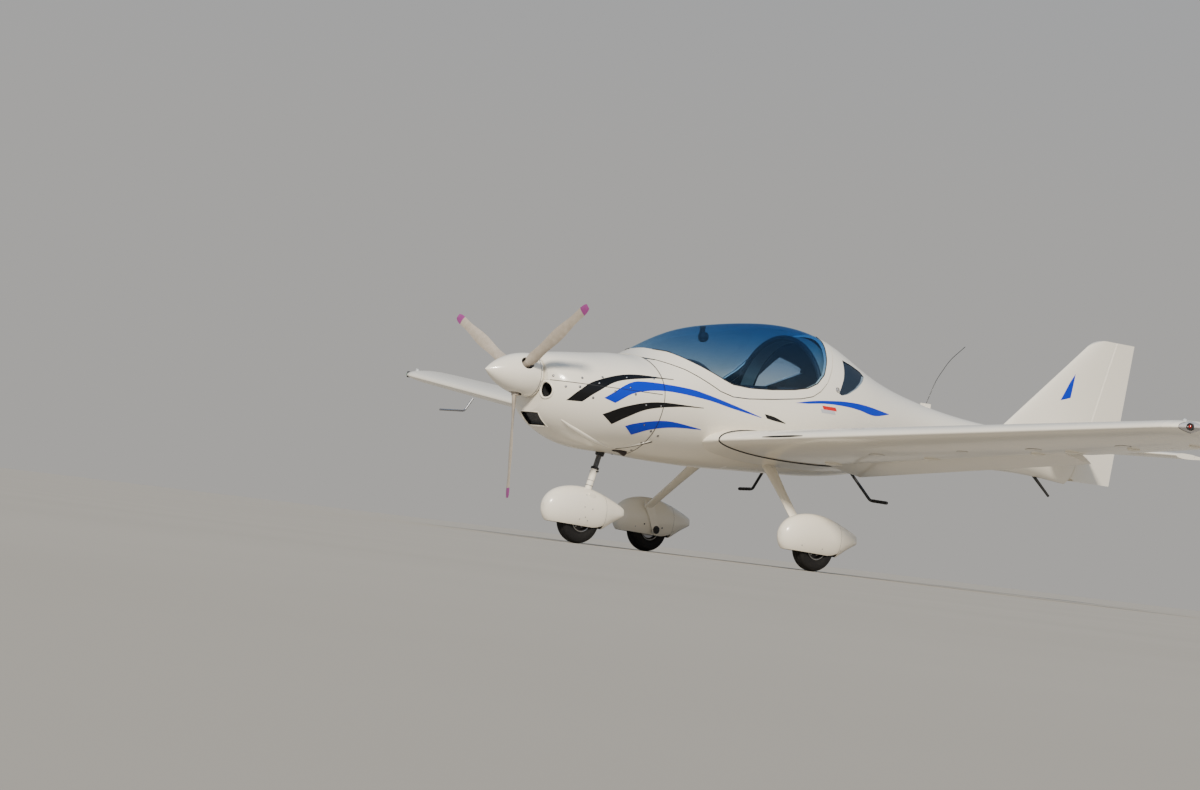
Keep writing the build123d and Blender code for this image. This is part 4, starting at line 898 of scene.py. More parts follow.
# ---------------------------------------------------------------------------
# wheels: grooved tyres, rims with bolts, brake, hub caps
# ---------------------------------------------------------------------------
TYRE = [(-0.042, 0.0835), (-0.0445, 0.088), (-0.046, 0.094), (-0.0495, 0.100), (-0.0525, 0.110), (-0.0545, 0.120), (-0.0550, 0.128),
        (-0.0540, 0.138), (-0.0515, 0.147), (-0.0485, 0.1535), (-0.0475, 0.1560), (-0.0445, 0.1580), (-0.0400, 0.1612),
        (-0.0330, 0.1642), (-0.0318, 0.1612), (-0.0282, 0.1614), (-0.0270, 0.1662),
        (-0.0140, 0.1692), (-0.0128, 0.1655), (-0.0092, 0.1657), (-0.0080, 0.1698), (0.0, 0.1700)]
TYRE = TYRE + [(-x, r) for x, r in reversed(TYRE[:-1])]
WHEELS = [("left", 0.966, -0.816, "left_wheel", "airframe", 1), ("right", -0.966, -0.816, "right_wheel", "airframe", -1),
          ("nose", 0.0, -2.225, "nose_wheel", "nose_gear", 1)]
hub_red = plain("hub_red", (0.20, 0.012, 0.010), 0.4, scale=120, coat=0.3)
for tag, x, y, body, carrier, out in WHEELS:
    c = Vector((x, y, 0.17))
    pile = Pile().add(*lathe(c, (1, 0, 0), TYRE + [(0.042, 0.0835), (-0.042, 0.0835)], 120, closed=True))
    # sidewall ribs
    for s in (-1, 1):
        pile.add(*ring(c + Vector((s * 0.0478, 0, 0)), (1, 0, 0), 0.097, 0.0018, 96, 6))
        pile.add(*ring(c + Vector((s * 0.0522, 0, 0)), (1, 0, 0), 0.143, 0.0015, 96, 6))
    o = pile.make(f"{tag}_tyre_tread", tyre_mat, body, "tyre_rubber", sharp=50)
    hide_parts(f"{tag}_tyre")
    bright = Pile()
    for s in (-1, 1):
        bright.add(*ring(c + Vector((s * 0.0435, 0, 0)), (1, 0, 0), 0.0815, 0.0030, 96, 8))
        for k in range(6):
            t = 2 * math.pi * k / 6
            p = c + Vector((s * 0.0165, 0.052 * math.cos(t), 0.052 * math.sin(t)))
            bright.add(*lathe(p, (s, 0, 0), [(-0.002, 0.0075), (0.004, 0.0075), (0.0045, 0.0065), (0.0045, 0.0042), (0.009, 0.0042), (0.010, 0.0030), (0.010, 0.0001)], 6))
    bright.make(f"{tag}_rim_flanges", alloy, body, "rim_metal")
    cap = Pile()
    for s in (-1, 1):
        cap.add(*lathe(c + Vector((s * 0.036, 0, 0)), (s, 0, 0), [(-0.012, 0.031), (0.000, 0.0315), (0.003, 0.0300), (0.004, 0.0245), (0.004, 0.0180), (0.0035, 0.0178)], 40))
    cap.make(f"{tag}_hub_rings", hub_red, body, "rim_metal")
    valve = Pile().add(*tube_along([c + Vector((out * 0.020, 0.060, 0.030)), c + Vector((out * 0.036, 0.062, 0.031)), c + Vector((out * 0.046, 0.061, 0.031))], [0.003, 0.003, 0.0025], 8))
    valve.make(f"{tag}_valve_stem", dark_steel, body, "rim_metal")
    if tag != "nose":
        # brake disc turns with the wheel
        inner = -out
        plate = Pile().add(*lathe(c + Vector((inner * 0.024, 0, 0)), (inner, 0, 0), [(0, 0.036), (0.004, 0.036), (0.004, 0.066), (0, 0.066)], 64, closed=True))
        plate.make(f"{tag}_brake_disc", steel, body, "steel")

# nose leg details, on the steering axis
sd = Vector((0, 0.2508, 0.9680)).normalized()
low = Vector((0, -2.225, 0.17))
collar = Pile()
collar.add(*lathe(low + sd * 0.386, sd, [(0, 0.0254), (0.001, 0.0290), (0.012, 0.0300), (0.018, 0.0290), (0.0195, 0.0200)], 40))
collar.make("fork_top_seal", rubber_seal, "nose_gear", "black_trim")
Pile().add(*lathe(low + sd * 0.494, sd, [(0, 0.0192), (0.001, 0.031), (0.010, 0.033), (0.030, 0.033), (0.034, 0.0300)], 40)).make(
    "nose_leg_collar", rubber_seal, "airframe", "black_trim")
Pile().add(*ring(low + sd * 0.262, sd, 0.0258, 0.0030, 40, 8)).add(*ring(low + sd * 0.300, sd, 0.0256, 0.0020, 40, 8)).make(
    "fork_sleeve_bands", alloy, "nose_gear", "steel")
# steering arm across the leg
arm = Pile()
arm.add(*tube_along([low + sd * 0.372 + Vector((-0.046, 0.004, 0)), low + sd * 0.372 + Vector((0.046, 0.004, 0))], 0.0060, 10))
arm.make("steering_arm", dark_steel, "nose_gear", "steel")

# wheel fairing details
FAIR_TREES = {"left": tree_of("left_wheel_fairing"), "right": tree_of("right_wheel_fairing"), "nose": tree_of("nose_wheel_fairing")}
for tag, x, y, body, carrier, out in WHEELS:
    tree = FAIR_TREES[tag]
    screws, crease = Pile(), Pile()
    for s in (1, -1):
        spots = ((-0.004, 0.353), (0.061, 0.346), (-0.026, 0.267), (0.048, 0.258), (-0.008, 0.195), (-0.055, 0.177), (0.019, 0.171))
        if tag != "nose":
            spots = ((0.013, 0.169), (-0.180, 0.180), (0.205, 0.172))
        for dy, z in spots:
            loc, nor = drop(tree, (x + s * 0.5, y + dy, z), (-s, 0, 0))
            if loc is not None and abs(loc.x - x) > 0.03:
                screws.add(*disc(loc + nor * 0.0008, nor, 0.0045, 0.002, 12))
    # joint line of the tail part, round the shell
    pts, nors = [], []
    for i in range(72):
        t = math.radians(-90 + 5.0 * i)
        d = Vector((math.cos(t), 0, math.sin(t)))
        o = Vector((x, y + 0.188, 0.262))
        loc, nor = drop(tree, o + d * 0.4, -d)
        if loc is not None and (loc - o).length > 0.02 and loc.z > 0.135:
            pts.append(loc)
            nors.append(nor)
        elif len(pts) > 3:
            crease.add(*ribbon_on(pts, nors, 0.0030, 0.0008))
            pts, nors = [], []
    if len(pts) > 3:
        crease.add(*ribbon_on(pts, nors, 0.0030, 0.0008))
    screws.make(f"{tag}_fairing_screws", steel, carrier, "steel")
    if crease.v:
        crease.make(f"{tag}_fairing_joint", plain(f"{tag}_joint_line", (0.30, 0.285, 0.26), 0.6, scale=200), carrier, "black_trim")
# hub fitting on each main leg's foot, and the cuff at its root
fit_metal = plain("foot_fitting", (0.035, 0.034, 0.033), 0.5, metal=0.4, scale=140, vary=0.4)
for side, tag in ((1, "left"), (-1, "right")):
    d = Vector((side * 0.765, -0.12, -0.633)).normalized()
    hub = Vector((side * 0.848, -0.816, 0.17))
    fitting, nuts = Pile(), Pile()
    fitting.add(*lathe(hub, (-side, 0, 0), [(-0.002, 0.0305), (0.003, 0.0305), (0.005, 0.028), (0.005, 0.015), (0.011, 0.014), (0.013, 0.011), (0.013, 0.0002)], 40))
    for k in range(4):
        t = math.pi / 4 + math.pi * k / 2
        nuts.add(*lathe(hub + Vector((-side * 0.005, 0.0215 * math.cos(t), 0.0215 * math.sin(t))), (-side, 0, 0),
                        [(0, 0.0052), (0.004, 0.0052), (0.005, 0.0045), (0.005, 0.0002)], 6))
    # screws that hold the fairing's inner wall to the foot
    for dy, z in ((-0.105, 0.205), (0.075, 0.190), (-0.030, 0.245)):
        loc, nor = drop(FAIR_TREES[tag], (side * 0.5, -0.816 + dy, z), (side, 0, 0))
        if loc is not None:
            nuts.add(*disc(loc + nor * 0.001, nor, 0.0062, 0.003, 16))
    fitting.make(f"{tag}_foot_fitting", fit_metal, "airframe", "steel")
    nuts.make(f"{tag}_foot_bolts", dark_steel, "airframe", "steel")
    # belly fillet where the leg leaves the fuselage
    cuff = Vector((side * 0.372, -0.8305, Z(-0.402)))
    fil = Pile().add(*tube_along([cuff - d * 0.02, cuff + d * 0.012, cuff + d * 0.05], [0.050, 0.040, 0.034], 28))
    for v in fil.v:
        rel = v - cuff
        along = d * rel.dot(d)
        across = rel - along
        fore = (Vector((0, 1, 0)) - d * d.y).normalized()
        f = across.dot(fore)
        v.xyz = cuff + along + fore * (f * 1.55) + (across - fore * f) * 0.72
    fil.make(f"{tag}_leg_cuff", white, "airframe", "white_gelcoat", sharp=60)

# ---------------------------------------------------------------------------
# wing details
# ---------------------------------------------------------------------------
TILT = math.radians(2.0)


def wing_frame(x):
    y = -1.5 + 0.170 * (x - 0.58)
    z = Z(-0.285 + 0.095 * (x - 0.58))
    c = -0.120 + 0.0463 * (x - 0.58) - y
    return y, z, c


def wing_point(x, s, h):
    """Chordwise distance s and height h in the section at x, in metres."""
    y, z, c = wing_frame(x)
    return Vector((x, y + s * math.cos(TILT) + h * math.sin(TILT), z - s * math.sin(TILT) + h * math.cos(TILT)))


def foil_height(c, s, top, height, end):
    nose = 0.36 * c
    if s <= nose:
        return height * math.sqrt(max(0.0, 1 - ((s - nose) / nose) ** 2))
    run, fall = c - nose, height - end
    rad = (run * run + fall * fall) / (2 * fall)
    return height - (rad - math.sqrt(rad * rad - (s - nose) ** 2))


def section_loop(x, n=40, grow=0.0):
    _, _, c = wing_frame(x)
    up, dn = [], []
    for i in range(n + 1):
        s = c * (1 - math.cos(math.pi * i / n)) / 2
        up.append(wing_point(x, s, foil_height(c, s, True, 0.083 * c, 0.003) + grow))
        dn.append(wing_point(x, s, -foil_height(c, s, False, 0.047 * c, 0.003) - grow))
    return up + dn[::-1][1:-1]


WING = tree_of("left_wing", "left_flap", "left_aileron")
bead = Pile()
bead.add(*tube_along(section_loop(0.5955, 44, 0.0016), 0.0062, 8, closed=True))
bead.make("wing_root_seals", rubber_seal, "airframe", "black_trim", both=True)

strips = Pile()
pts = [wing_point(0.99 + 0.36 * i / 16, -0.0015, 0.010) for i in range(17)]
strips.add(*tube_along(pts, [0.0018 + 0.0042 * min(1, 4 * i / 16, 4 * (16 - i) / 16) for i in range(17)], 5))
strips.make("stall_strips", rubber_seal, "airframe", "black_trim", sharp=20, both=True)


def under(x, share, top=False):
    y, z, c = wing_frame(x)
    o = (x, y + share * c, z + (1.0 if top else -1.0))
    return drop(WING, o, (0, 0, -1 if top else 1))


covers, caps, rims_ = Pile(), Pile(), Pile()
for x, share, r in ((1.55, 0.40, 0.055), (2.88, 0.46, 0.055), (3.60, 0.50, 0.055), (2.30, 0.42, 0.040)):
    loc, nor = under(x, share)
    if loc is not None:
        covers.add(*disc(loc + nor * 0.0010, nor, r, 0.002, 48, bevel=0.03))
        rims_.add(*ring(loc + nor * 0.0006, nor, r, 0.0014, 48, 6))
        for k in range(6):
            t = math.pi * k / 3
            a, u, w = basis(nor)
            heads_p = loc + nor * 0.0018 + (u * math.cos(t) + w * math.sin(t)) * (r - 0.010)
            caps.add(*disc(heads_p, nor, 0.0035, 0.0015, 10))
covers.make("underwing_covers", white, "airframe", "white_gelcoat", both=True)
rims_.make("underwing_cover_gaps", plain("cover_gap", (0.16, 0.15, 0.14), 0.7, scale=200), "airframe", "black_trim", both=True)
caps.make("underwing_cover_screws", steel, "airframe", "steel", both=True)

fuel = Pile()
loc, nor = under(0.92, 0.30, True)
if loc is not None:
    fuel.add(*lathe(loc, nor, [(-0.004, 0.040), (0.0012, 0.040), (0.0022, 0.038), (0.0022, 0.031), (0.0050, 0.030), (0.0060, 0.028), (0.0060, 0.0001)], 48))
    a, u, w = basis(nor)
    fuel.add(*tube_along([loc + nor * 0.0075 - u * 0.022, loc + nor * 0.0085, loc + nor * 0.0075 + u * 0.022], 0.0035, 8))
fuel.make("fuel_caps", alloy, "airframe", "rim_metal", both=True)

# hinge brackets under flap and aileron: slim fairings ahead of the hinge line
brackets = Pile()
for x in (0.80, 1.75, 2.72, 3.02, 3.55, 4.06):
    y, z, c = wing_frame(x)
    pts, rad = [], []
    for i in range(11):
        k = i / 10
        s = (0.60 + 0.125 * k) * c
        h = -foil_height(c, s, False, 0.047 * c, 0.003) - 0.004
        pts.append(wing_point(x, s, h))
        rad.append(0.001 + 0.013 * math.sin(math.pi * (k ** 0.8)) ** 0.7)
    brackets.add(*tube_along(pts, rad, 12))
brackets.make("hinge_fairings", white, "airframe", "white_gelcoat", sharp=60, both=True)

# wing tip lamps: dark backing edge and a clear strobe dome beside each coloured lens
tip = Pile()
for z0, r in ((0.0, 0.016),):
    lo_l, hi_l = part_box("left_nav_light")
    mid = (lo_l + hi_l) / 2
    loc, nor = drop(tree_of("left_wing"), (mid.x - 0.075, mid.y + 0.02, mid.z + 1.0), (0, 0, -1))
    if loc is not None:
        tip.add(*lathe(loc, nor, [(-0.003, r), (0.002, r), (0.008, r * 0.92), (0.013, r * 0.72), (0.017, r * 0.36), (0.018, 0.0002)], 32))
clear = lens_material("strobe_lens", (0.80, 0.82, 0.84))
tip.make("tip_strobes", clear, "airframe", "canopy_glazing", both=True)
edge_l = Pile()
lo_l, hi_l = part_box("left_nav_light")
NAV = tree_of("left_nav_light")
# a dark round housing with a small coloured bulb in the front of each lens
housing, red_bulb, green_bulb = Pile(), Pile(), Pile()
out_dir = Vector((0.55, -0.83, 0.0)).normalized()
mid = (lo_l + hi_l) / 2
loc, nor = drop(NAV, mid + out_dir * 0.3, tuple(-out_dir))
if loc is not None:
    face = Vector(loc)
    ax = out_dir
    housing.add(*lathe(face, ax, [(-0.030, 0.025), (0.004, 0.025), (0.008, 0.0235), (0.009, 0.021), (0.006, 0.0185), (0.002, 0.0165), (0.001, 0.0002)], 40))
    bulb = [(-0.002, 0.0115), (0.004, 0.0115), (0.009, 0.0098), (0.012, 0.0066), (0.0135, 0.0002)]
    red_bulb.add(*lathe(face, ax, bulb, 32))
    green_bulb.add(*lathe(Vector((-face.x, face.y, face.z)), Vector((-ax.x, ax.y, ax.z)), bulb, 32))
    housing.make("tip_lamp_housings", dark_trim, "airframe", "black_trim", both=True)
    red_bulb.make("port_bulb", red_lens, "airframe", "canopy_glazing")
    green_bulb.make("starboard_bulb", green_lens, "airframe", "canopy_glazing")
pts_t, nor_t, pts_b, nor_b = [], [], [], []
for i in range(15):
    y = lo_l.y + 0.003 + (hi_l.y - lo_l.y - 0.006) * i / 14
    for sgn, pp, nn in ((1, pts_t, nor_t), (-1, pts_b, nor_b)):
        loc, nor = drop(NAV, (lo_l.x + 0.0015, y, (lo_l.z + hi_l.z) / 2 + sgn), (0, 0, -sgn))
        if loc is not None:
            pp.append(loc)
            nn.append(nor)
if len(pts_t) > 3:
    edge_l.add(*ribbon_on(pts_t, nor_t, 0.004, 0.0008))
if len(pts_b) > 3:
    edge_l.add(*ribbon_on(pts_b, nor_b, 0.004, 0.0008))
if edge_l.v:
    edge_l.make("tip_lens_seals", rubber_seal, "airframe", "black_trim", both=True)

# ---------------------------------------------------------------------------
# spinner and propeller
# ---------------------------------------------------------------------------
spin = Pile()
SPIN = tree_of("spinner")
hub_c = Vector((0, -2.92, AXIS_Z))
for y, w in ((-2.818, 0.0030),):
    pts, nors = [], []
    for i in range(120):
        t = 2 * math.pi * i / 120
        d = Vector((math.cos(t), 0, math.sin(t)))
        loc, nor = drop(SPIN, Vector((0, y, AXIS_Z)) + d * 0.5, -d)
        if loc is not None:
            pts.append(loc)
            nors.append(nor)
    spin.add(*ribbon_on(pts, nors, w, 0.0008, closed=True))
spin.make("spinner_seam", rubber_seal, "propeller", "black_trim")
bolts = Pile()
for i in range(12):
    t = 2 * math.pi * (i + 0.5) / 12
    d = Vector((math.cos(t), 0, math.sin(t)))
    loc, nor = drop(SPIN, Vector((0, -2.811, AXIS_Z)) + d * 0.5, -d)
    if loc is not None:
        bolts.add(*disc(loc + nor * 0.001, nor, 0.0042, 0.002, 12))
bolts.make("spinner_screws", steel, "propeller", "steel")
cuffs = Pile()
for ang in (-64.06, 55.94, 175.94):
    t = math.radians(ang)
    d = Vector((math.sin(t), 0, math.cos(t)))
    cuffs.add(*lathe(hub_c, d, [(0.060, 0.030), (0.062, 0.040), (0.090, 0.040), (0.094, 0.038), (0.094, 0.030)], 32))
cuffs.make("blade_root_clamps", dark_steel, "propeller", "steel")

# ---------------------------------------------------------------------------
# cabin: panel, dials, sticks, pedals, levers
# ---------------------------------------------------------------------------
glareshield = plain("glareshield_vinyl", (0.020, 0.020, 0.022), 0.75, scale=420, vary=0.4, bump=0.7, bump_d=0.0008)
assign(glareshield, "instrument_panel")
panel_grey = plain("panel_face", (0.055, 0.057, 0.062), 0.55, scale=300, bump=0.2)
dial_face = plain("dial_face", (0.010, 0.010, 0.012), 0.35, scale=200, vary=0.2, bump=0.05)
dial_mark = plain("dial_marks", (0.75, 0.75, 0.72), 0.5, scale=200, vary=0.05, bump=0.0)
screen_glow = plain("display_face", (0.02, 0.05, 0.09), 0.15, scale=60, vary=0.5, bump=0.0)
PY = -1.400
face = Pile()
outline = [(-0.425, -0.050), (0.425, -0.050), (0.425, 0.075)]
for i in range(1, 24):
    a = -1 + 2 * i / 24
    outline.append((-0.425 * a, 0.075 + 0.19 * (1 - a * a)))
outline.append((-0.425, 0.075))
n = len(outline)
fv = [(x, PY + 0.0005, Z(z)) for x, z in outline] + [(x * 0.992, PY + 0.004, Z(0.05 + (z - 0.05) * 0.985)) for x, z in outline]
face.add(fv, [[i, (i + 1) % n, n + (i + 1) % n, n + i] for i in range(n)] + [list(range(n, 2 * n))])
face.make("panel_face_plate", panel_grey, "airframe", "black_trim")
bezels, faces_, marks, glowing, knobs = Pile(), Pile(), Pile(), Pile(), Pile()
DIALS = [(x + dx, z, 0.036) for x in (0.25, -0.25) for dx, z in ((-0.09, 0.135), (0.0, 0.150), (0.09, 0.135), (-0.045, 0.055), (0.045, 0.055))]
DIALS += [(-0.02, 0.200, 0.026), (0.06, 0.190, 0.026)]
for k, (x, z, r) in enumerate(DIALS):
    c = Vector((x, PY + 0.004, Z(z)))
    bezels.add(*lathe(c, (0, 1, 0), [(0, r + 0.005), (0.006, r + 0.005), (0.008, r + 0.002), (0.007, r - 0.001), (0.003, r - 0.002), (0.0, r - 0.002)], 32, closed=True))
    faces_.add(*disc(c + Vector((0, 0.003, 0)), (0, 1, 0), r - 0.001, 0.002, 28, bevel=0.01))
    for i in range(12):
        t = math.radians(-150 + 300 * i / 11)
        d = Vector((-math.sin(t), 0, math.cos(t)))
        w = Vector((d.z, 0, -d.x)) * 0.0008
        p0, p1 = c + Vector((0, 0.0045, 0)) + d * (r - 0.010), c + Vector((0, 0.0045, 0)) + d * (r - 0.005)
        marks.add([p0 - w, p0 + w, p1 + w, p1 - w], [[0, 1, 2, 3]])
    t = math.radians(-110 + 47 * k)
    d = Vector((-math.sin(t), 0, math.cos(t)))
    w = Vector((d.z, 0, -d.x)) * 0.0014
    p0, p1 = c + Vector((0, 0.005, 0)) - d * 0.006, c + Vector((0, 0.005, 0)) + d * (r - 0.009)
    marks.add([p0 - w, p0 + w, p1 + w * 0.3, p1 - w * 0.3], [[0, 1, 2, 3]])
for x, z, w, h in ((0.0, 0.115, 0.062, 0.040), (0.0, 0.045, 0.062, 0.022)):
    c = Vector((x, PY + 0.004, Z(z)))
    v = []
    for y, g in ((0.0, 0.006), (0.006, 0.006), (0.007, 0.003), (0.0045, 0.0)):
        v += [c + Vector((sx * (w + g), y, sz * (h + g))) for sx, sz in ((-1, -1), (1, -1), (1, 1), (-1, 1))]
    bezels.add(v, [[a * 4 + i, a * 4 + (i + 1) % 4, (a + 1) * 4 + (i + 1) % 4, (a + 1) * 4 + i] for a in range(3) for i in range(4)])
    glowing.add([c + Vector((sx * w, 0.0045, sz * h)) for sx, sz in ((-1, -1), (1, -1), (1, 1), (-1, 1))], [[0, 1, 2, 3]])
for i in range(9):
    knobs.add(*lathe((-0.16 + 0.04 * i, PY + 0.004, Z(-0.022)), (0, 1, 0), [(0, 0.007), (0.010, 0.0065), (0.013, 0.005), (0.014, 0.0001)], 16))
bezels.make("dial_bezels", dark_trim, "airframe", "black_trim")
faces_.make("dial_faces", dial_face, "airframe", "black_trim")
marks.make("dial_marks", dial_mark, "airframe", "black_trim")
glowing.make("display_screens", screen_glow, "airframe", "black_trim")
knobs.make("panel_switches", steel, "airframe", "steel")

sticks, grips, pedals, levers = Pile(), Pile(), Pile(), Pile()
for x in (0.25, -0.25):
    sticks.add(*tube_along(catmull([(x, -1.235, Z(-0.365)), (x, -1.220, Z(-0.24)), (x, -1.190, Z(-0.13)), (x, -1.165, Z(-0.075))], 6), 0.010, 12))
    sticks.add(*lathe((x, -1.235, Z(-0.368)), (0, 0, 1), [(0, 0.050), (0.006, 0.048), (0.030, 0.022), (0.045, 0.014)], 28))
    grips.add(*tube_along(catmull([(x, -1.172, Z(-0.095)), (x, -1.160, Z(-0.055)), (x, -1.156, Z(-0.010)), (x, -1.166, Z(0.035))], 5),
                          [0.014] + [0.0165 + 0.0025 * math.sin(i * 1.25) for i in range(14)] + [0.012], 16))
    for dx in (-0.085, 0.085):
        p = Vector((x + dx, -1.835, Z(-0.215)))
        pedals.add(*tube_along([(x + dx, -1.82, Z(-0.366)), (x + dx, -1.842, Z(-0.290)), (x + dx, -1.838, Z(-0.225))], 0.008, 10))
        v = []
        for y0, g in ((0.0, 0.0), (0.006, 0.0), (0.010, -0.004)):
            for sx, sz in ((-1, -1), (1, -1), (1, 1), (-1, 1)):
                v.append(p + Vector((sx * (0.034 + g), y0 + sz * 0.012, sz * (0.045 + g))))
        pedals.add(v, [[a * 4 + i, a * 4 + (i + 1) % 4, (a + 1) * 4 + (i + 1) % 4, (a + 1) * 4 + i] for a in range(2) for i in range(4)] + [[0, 3, 2, 1], [8, 9, 10, 11]])
for x, y, r in ((0.0, -1.20, 0.013), (0.022, -1.22, 0.011)):
    levers.add(*tube_along([(x, y, Z(-0.184)), (x, y - 0.012, Z(-0.13)), (x, y - 0.018, Z(-0.105))], 0.004, 8))
    levers.add(*lathe((x, y - 0.018, Z(-0.110)), (0, -0.2, 1), [(0, 0.004), (0.004, r), (0.016, r + 0.002), (0.026, r * 0.7), (0.029, 0.0003)], 20))
sticks.make("control_sticks", dark_steel, "airframe", "steel")
grips.make("stick_grips", dark_trim, "airframe", "black_trim")
pedals.make("rudder_pedals", alloy, "airframe", "rim_metal")
levers.make("console_levers", red, "airframe", "black_trim")

# ---------------------------------------------------------------------------
# seats: padded cushions with sewn channels, low backs, belts
# ---------------------------------------------------------------------------
def cloth_material(name, color, accent=None):
    m, nt, bsdf, out = node_material(name)
    t = Tree(nt)
    vec, x, y, z = t.coords()
    weave = t.new("ShaderNodeTexVoronoi")
    weave.inputs["Scale"].default_value = 520.0
    t.link(vec, weave.inputs["Vector"])
    n = t.noise(vec, 26.0, 4)
    base = t.ramp(n, [(0.3, tuple(c * 0.72 for c in color)), (0.7, color)])
    fine = t.ramp(weave.outputs["Distance"], [(0.0, tuple(min(c * 1.5, 1) for c in color)), (0.6, tuple(c * 0.55 for c in color))])
    t.link(t.mix(0.45, base, fine), bsdf.inputs["Base Color"])
    bsdf.inputs["Roughness"].default_value = 0.88
    bsdf.inputs["Sheen Weight"].default_value = 0.35
    bsdf.inputs["Sheen Roughness"].default_value = 0.5
    t.bump(weave.outputs["Distance"], 0.5, 0.0010, bsdf)
    return m


seat_cloth = cloth_material("seat_cloth", (0.050, 0.052, 0.060))
webbing = cloth_material("belt_webbing", (0.035, 0.060, 0.16))


def pad_mesh(w, d, h, cells):
    """Closed rounded pad: crowned above and below, corners rounded in plan."""
    bm = bmesh.new()
    nx, ny = max(6, int(w / cells)), max(6, int(d / cells))
    rows = {}
    for layer, sgn in ((0, 1), (1, -1)):
        for i in range(nx + 1):
            for j in range(ny + 1):
                u, v = 2 * i / nx - 1, 2 * j / ny - 1
                if layer == 1 and (abs(u) == 1 or abs(v) == 1):
                    rows[(layer, i, j)] = rows[(0, i, j)]
                    continue
                # squircle mapping keeps the grid even and rounds the corners
                k = 0.16
                px = u * math.sqrt(1 - k * v * v) / math.sqrt(1 - k * 0.0) * (w / 2)
                py = v * math.sqrt(1 - k * u * u) * (d / 2)
                edge = (1 - abs(u) ** 5) * (1 - abs(v) ** 5)
                pz = sgn * h / 2 * max(edge, 0.0) ** 0.42
                rows[(layer, i, j)] = bm.verts.new((px, py, pz))
    for layer in (0, 1):
        for i in range(nx):
            for j in range(ny):
                q = [rows[(layer, i, j)], rows[(layer, i + 1, j)], rows[(layer, i + 1, j + 1)], rows[(layer, i, j + 1)]]
                if layer:
                    q.reverse()
                bm.faces.new(q)
    me = bpy.data.meshes.new("pad")
    bm.to_mesh(me)
    bm.free()
    return me


def swell(me, voxel, cap, pressure=4.0):
    """Voxel remesh, then let cloth under slight pressure settle; a point moves at most cap."""
    o = bpy.data.objects.new("pad_work", me)
    scene.collection.objects.link(o)
    r = o.modifiers.new("r", "REMESH")
    r.mode, r.voxel_size = "VOXEL", voxel
    dg = bpy.context.evaluated_depsgraph_get()
    base = bpy.data.meshes.new_from_object(o.evaluated_get(dg))
    o.modifiers.clear()
    o.data = base
    before = np.array([v.co for v in base.vertices])
    c = o.modifiers.new("c", "CLOTH")
    c.settings.use_pressure = True
    c.settings.uniform_pressure_force = pressure
    c.settings.effector_weights.gravity = 0.0
    c.settings.mass = 0.3
    c.settings.tension_stiffness = 30
    c.settings.bending_stiffness = 2.0
    c.point_cache.frame_start, c.point_cache.frame_end = 1, 20
    for f in range(1, 21):
        scene.frame_set(f)
    dg = bpy.context.evaluated_depsgraph_get()
    done = bpy.data.meshes.new_from_object(o.evaluated_get(dg))
    after = np.array([v.co for v in done.vertices])
    move = after - before
    size = np.linalg.norm(move, axis=1)
    over = size > cap
    move[over] *= (cap / size[over])[:, None]
    co = (before + move).astype(np.float32)
    o.modifiers.clear()
    done.vertices.foreach_set("co", co.ravel())
    scene.frame_set(1)
    bpy.data.objects.remove(o)
    return done


def finish_pad(me, w, d, channels, across):
    """One subdivision, then the sewn channels: grooves along y at channels, and across at the others."""
    o = bpy.data.objects.new("pad_sub", me)
    scene.collection.objects.link(o)
    s = o.modifiers.new("s", "SUBSURF")
    s.levels = s.render_levels = 1
    dg = bpy.context.evaluated_depsgraph_get()
    done = bpy.data.meshes.new_from_object(o.evaluated_get(dg))
    bpy.data.objects.remove(o)
    co = np.array([v.co for v in done.vertices])
    top = co[:, 2] > 0
    inx = np.clip((w / 2 * 0.90 - np.abs(co[:, 0])) / 0.02, 0, 1)
    iny = np.clip((d / 2 * 0.90 - np.abs(co[:, 1])) / 0.02, 0, 1)
    groove = np.zeros(len(co))
    for x0 in channels:
        groove = np.maximum(groove, np.exp(-((co[:, 0] - x0) / 0.006) ** 2) * iny)
    for y0 in across:
        groove = np.maximum(groove, np.exp(-((co[:, 1] - y0) / 0.006) ** 2) * inx)
    co[:, 2] -= np.where(top, 0.0075 * groove, 0)
    done.vertices.foreach_set("co", co.astype(np.float32).ravel())
    done.polygons.foreach_set("use_smooth", [True] * len(done.polygons))
    done.update()
    return done


PADS = {
    # width, depth, thickness, channels along, channels across, voxel, cap
    "pan": (0.350, 0.400, 0.066, (-0.115, 0.115), (-0.09, 0.0, 0.09), 0.009, 0.010),
    "back": (0.345, 0.373, 0.046, (-0.110, 0.110), (-0.10, 0.0, 0.10), 0.009, 0.008),
}
pad_made = {}
for kind, (w, d, h, along, across, voxel, cap) in PADS.items():
    me = pad_mesh(w, d, h, voxel)
    me = swell(me, voxel, cap)
    pad_made[kind] = finish_pad(me, w, d, along, across)

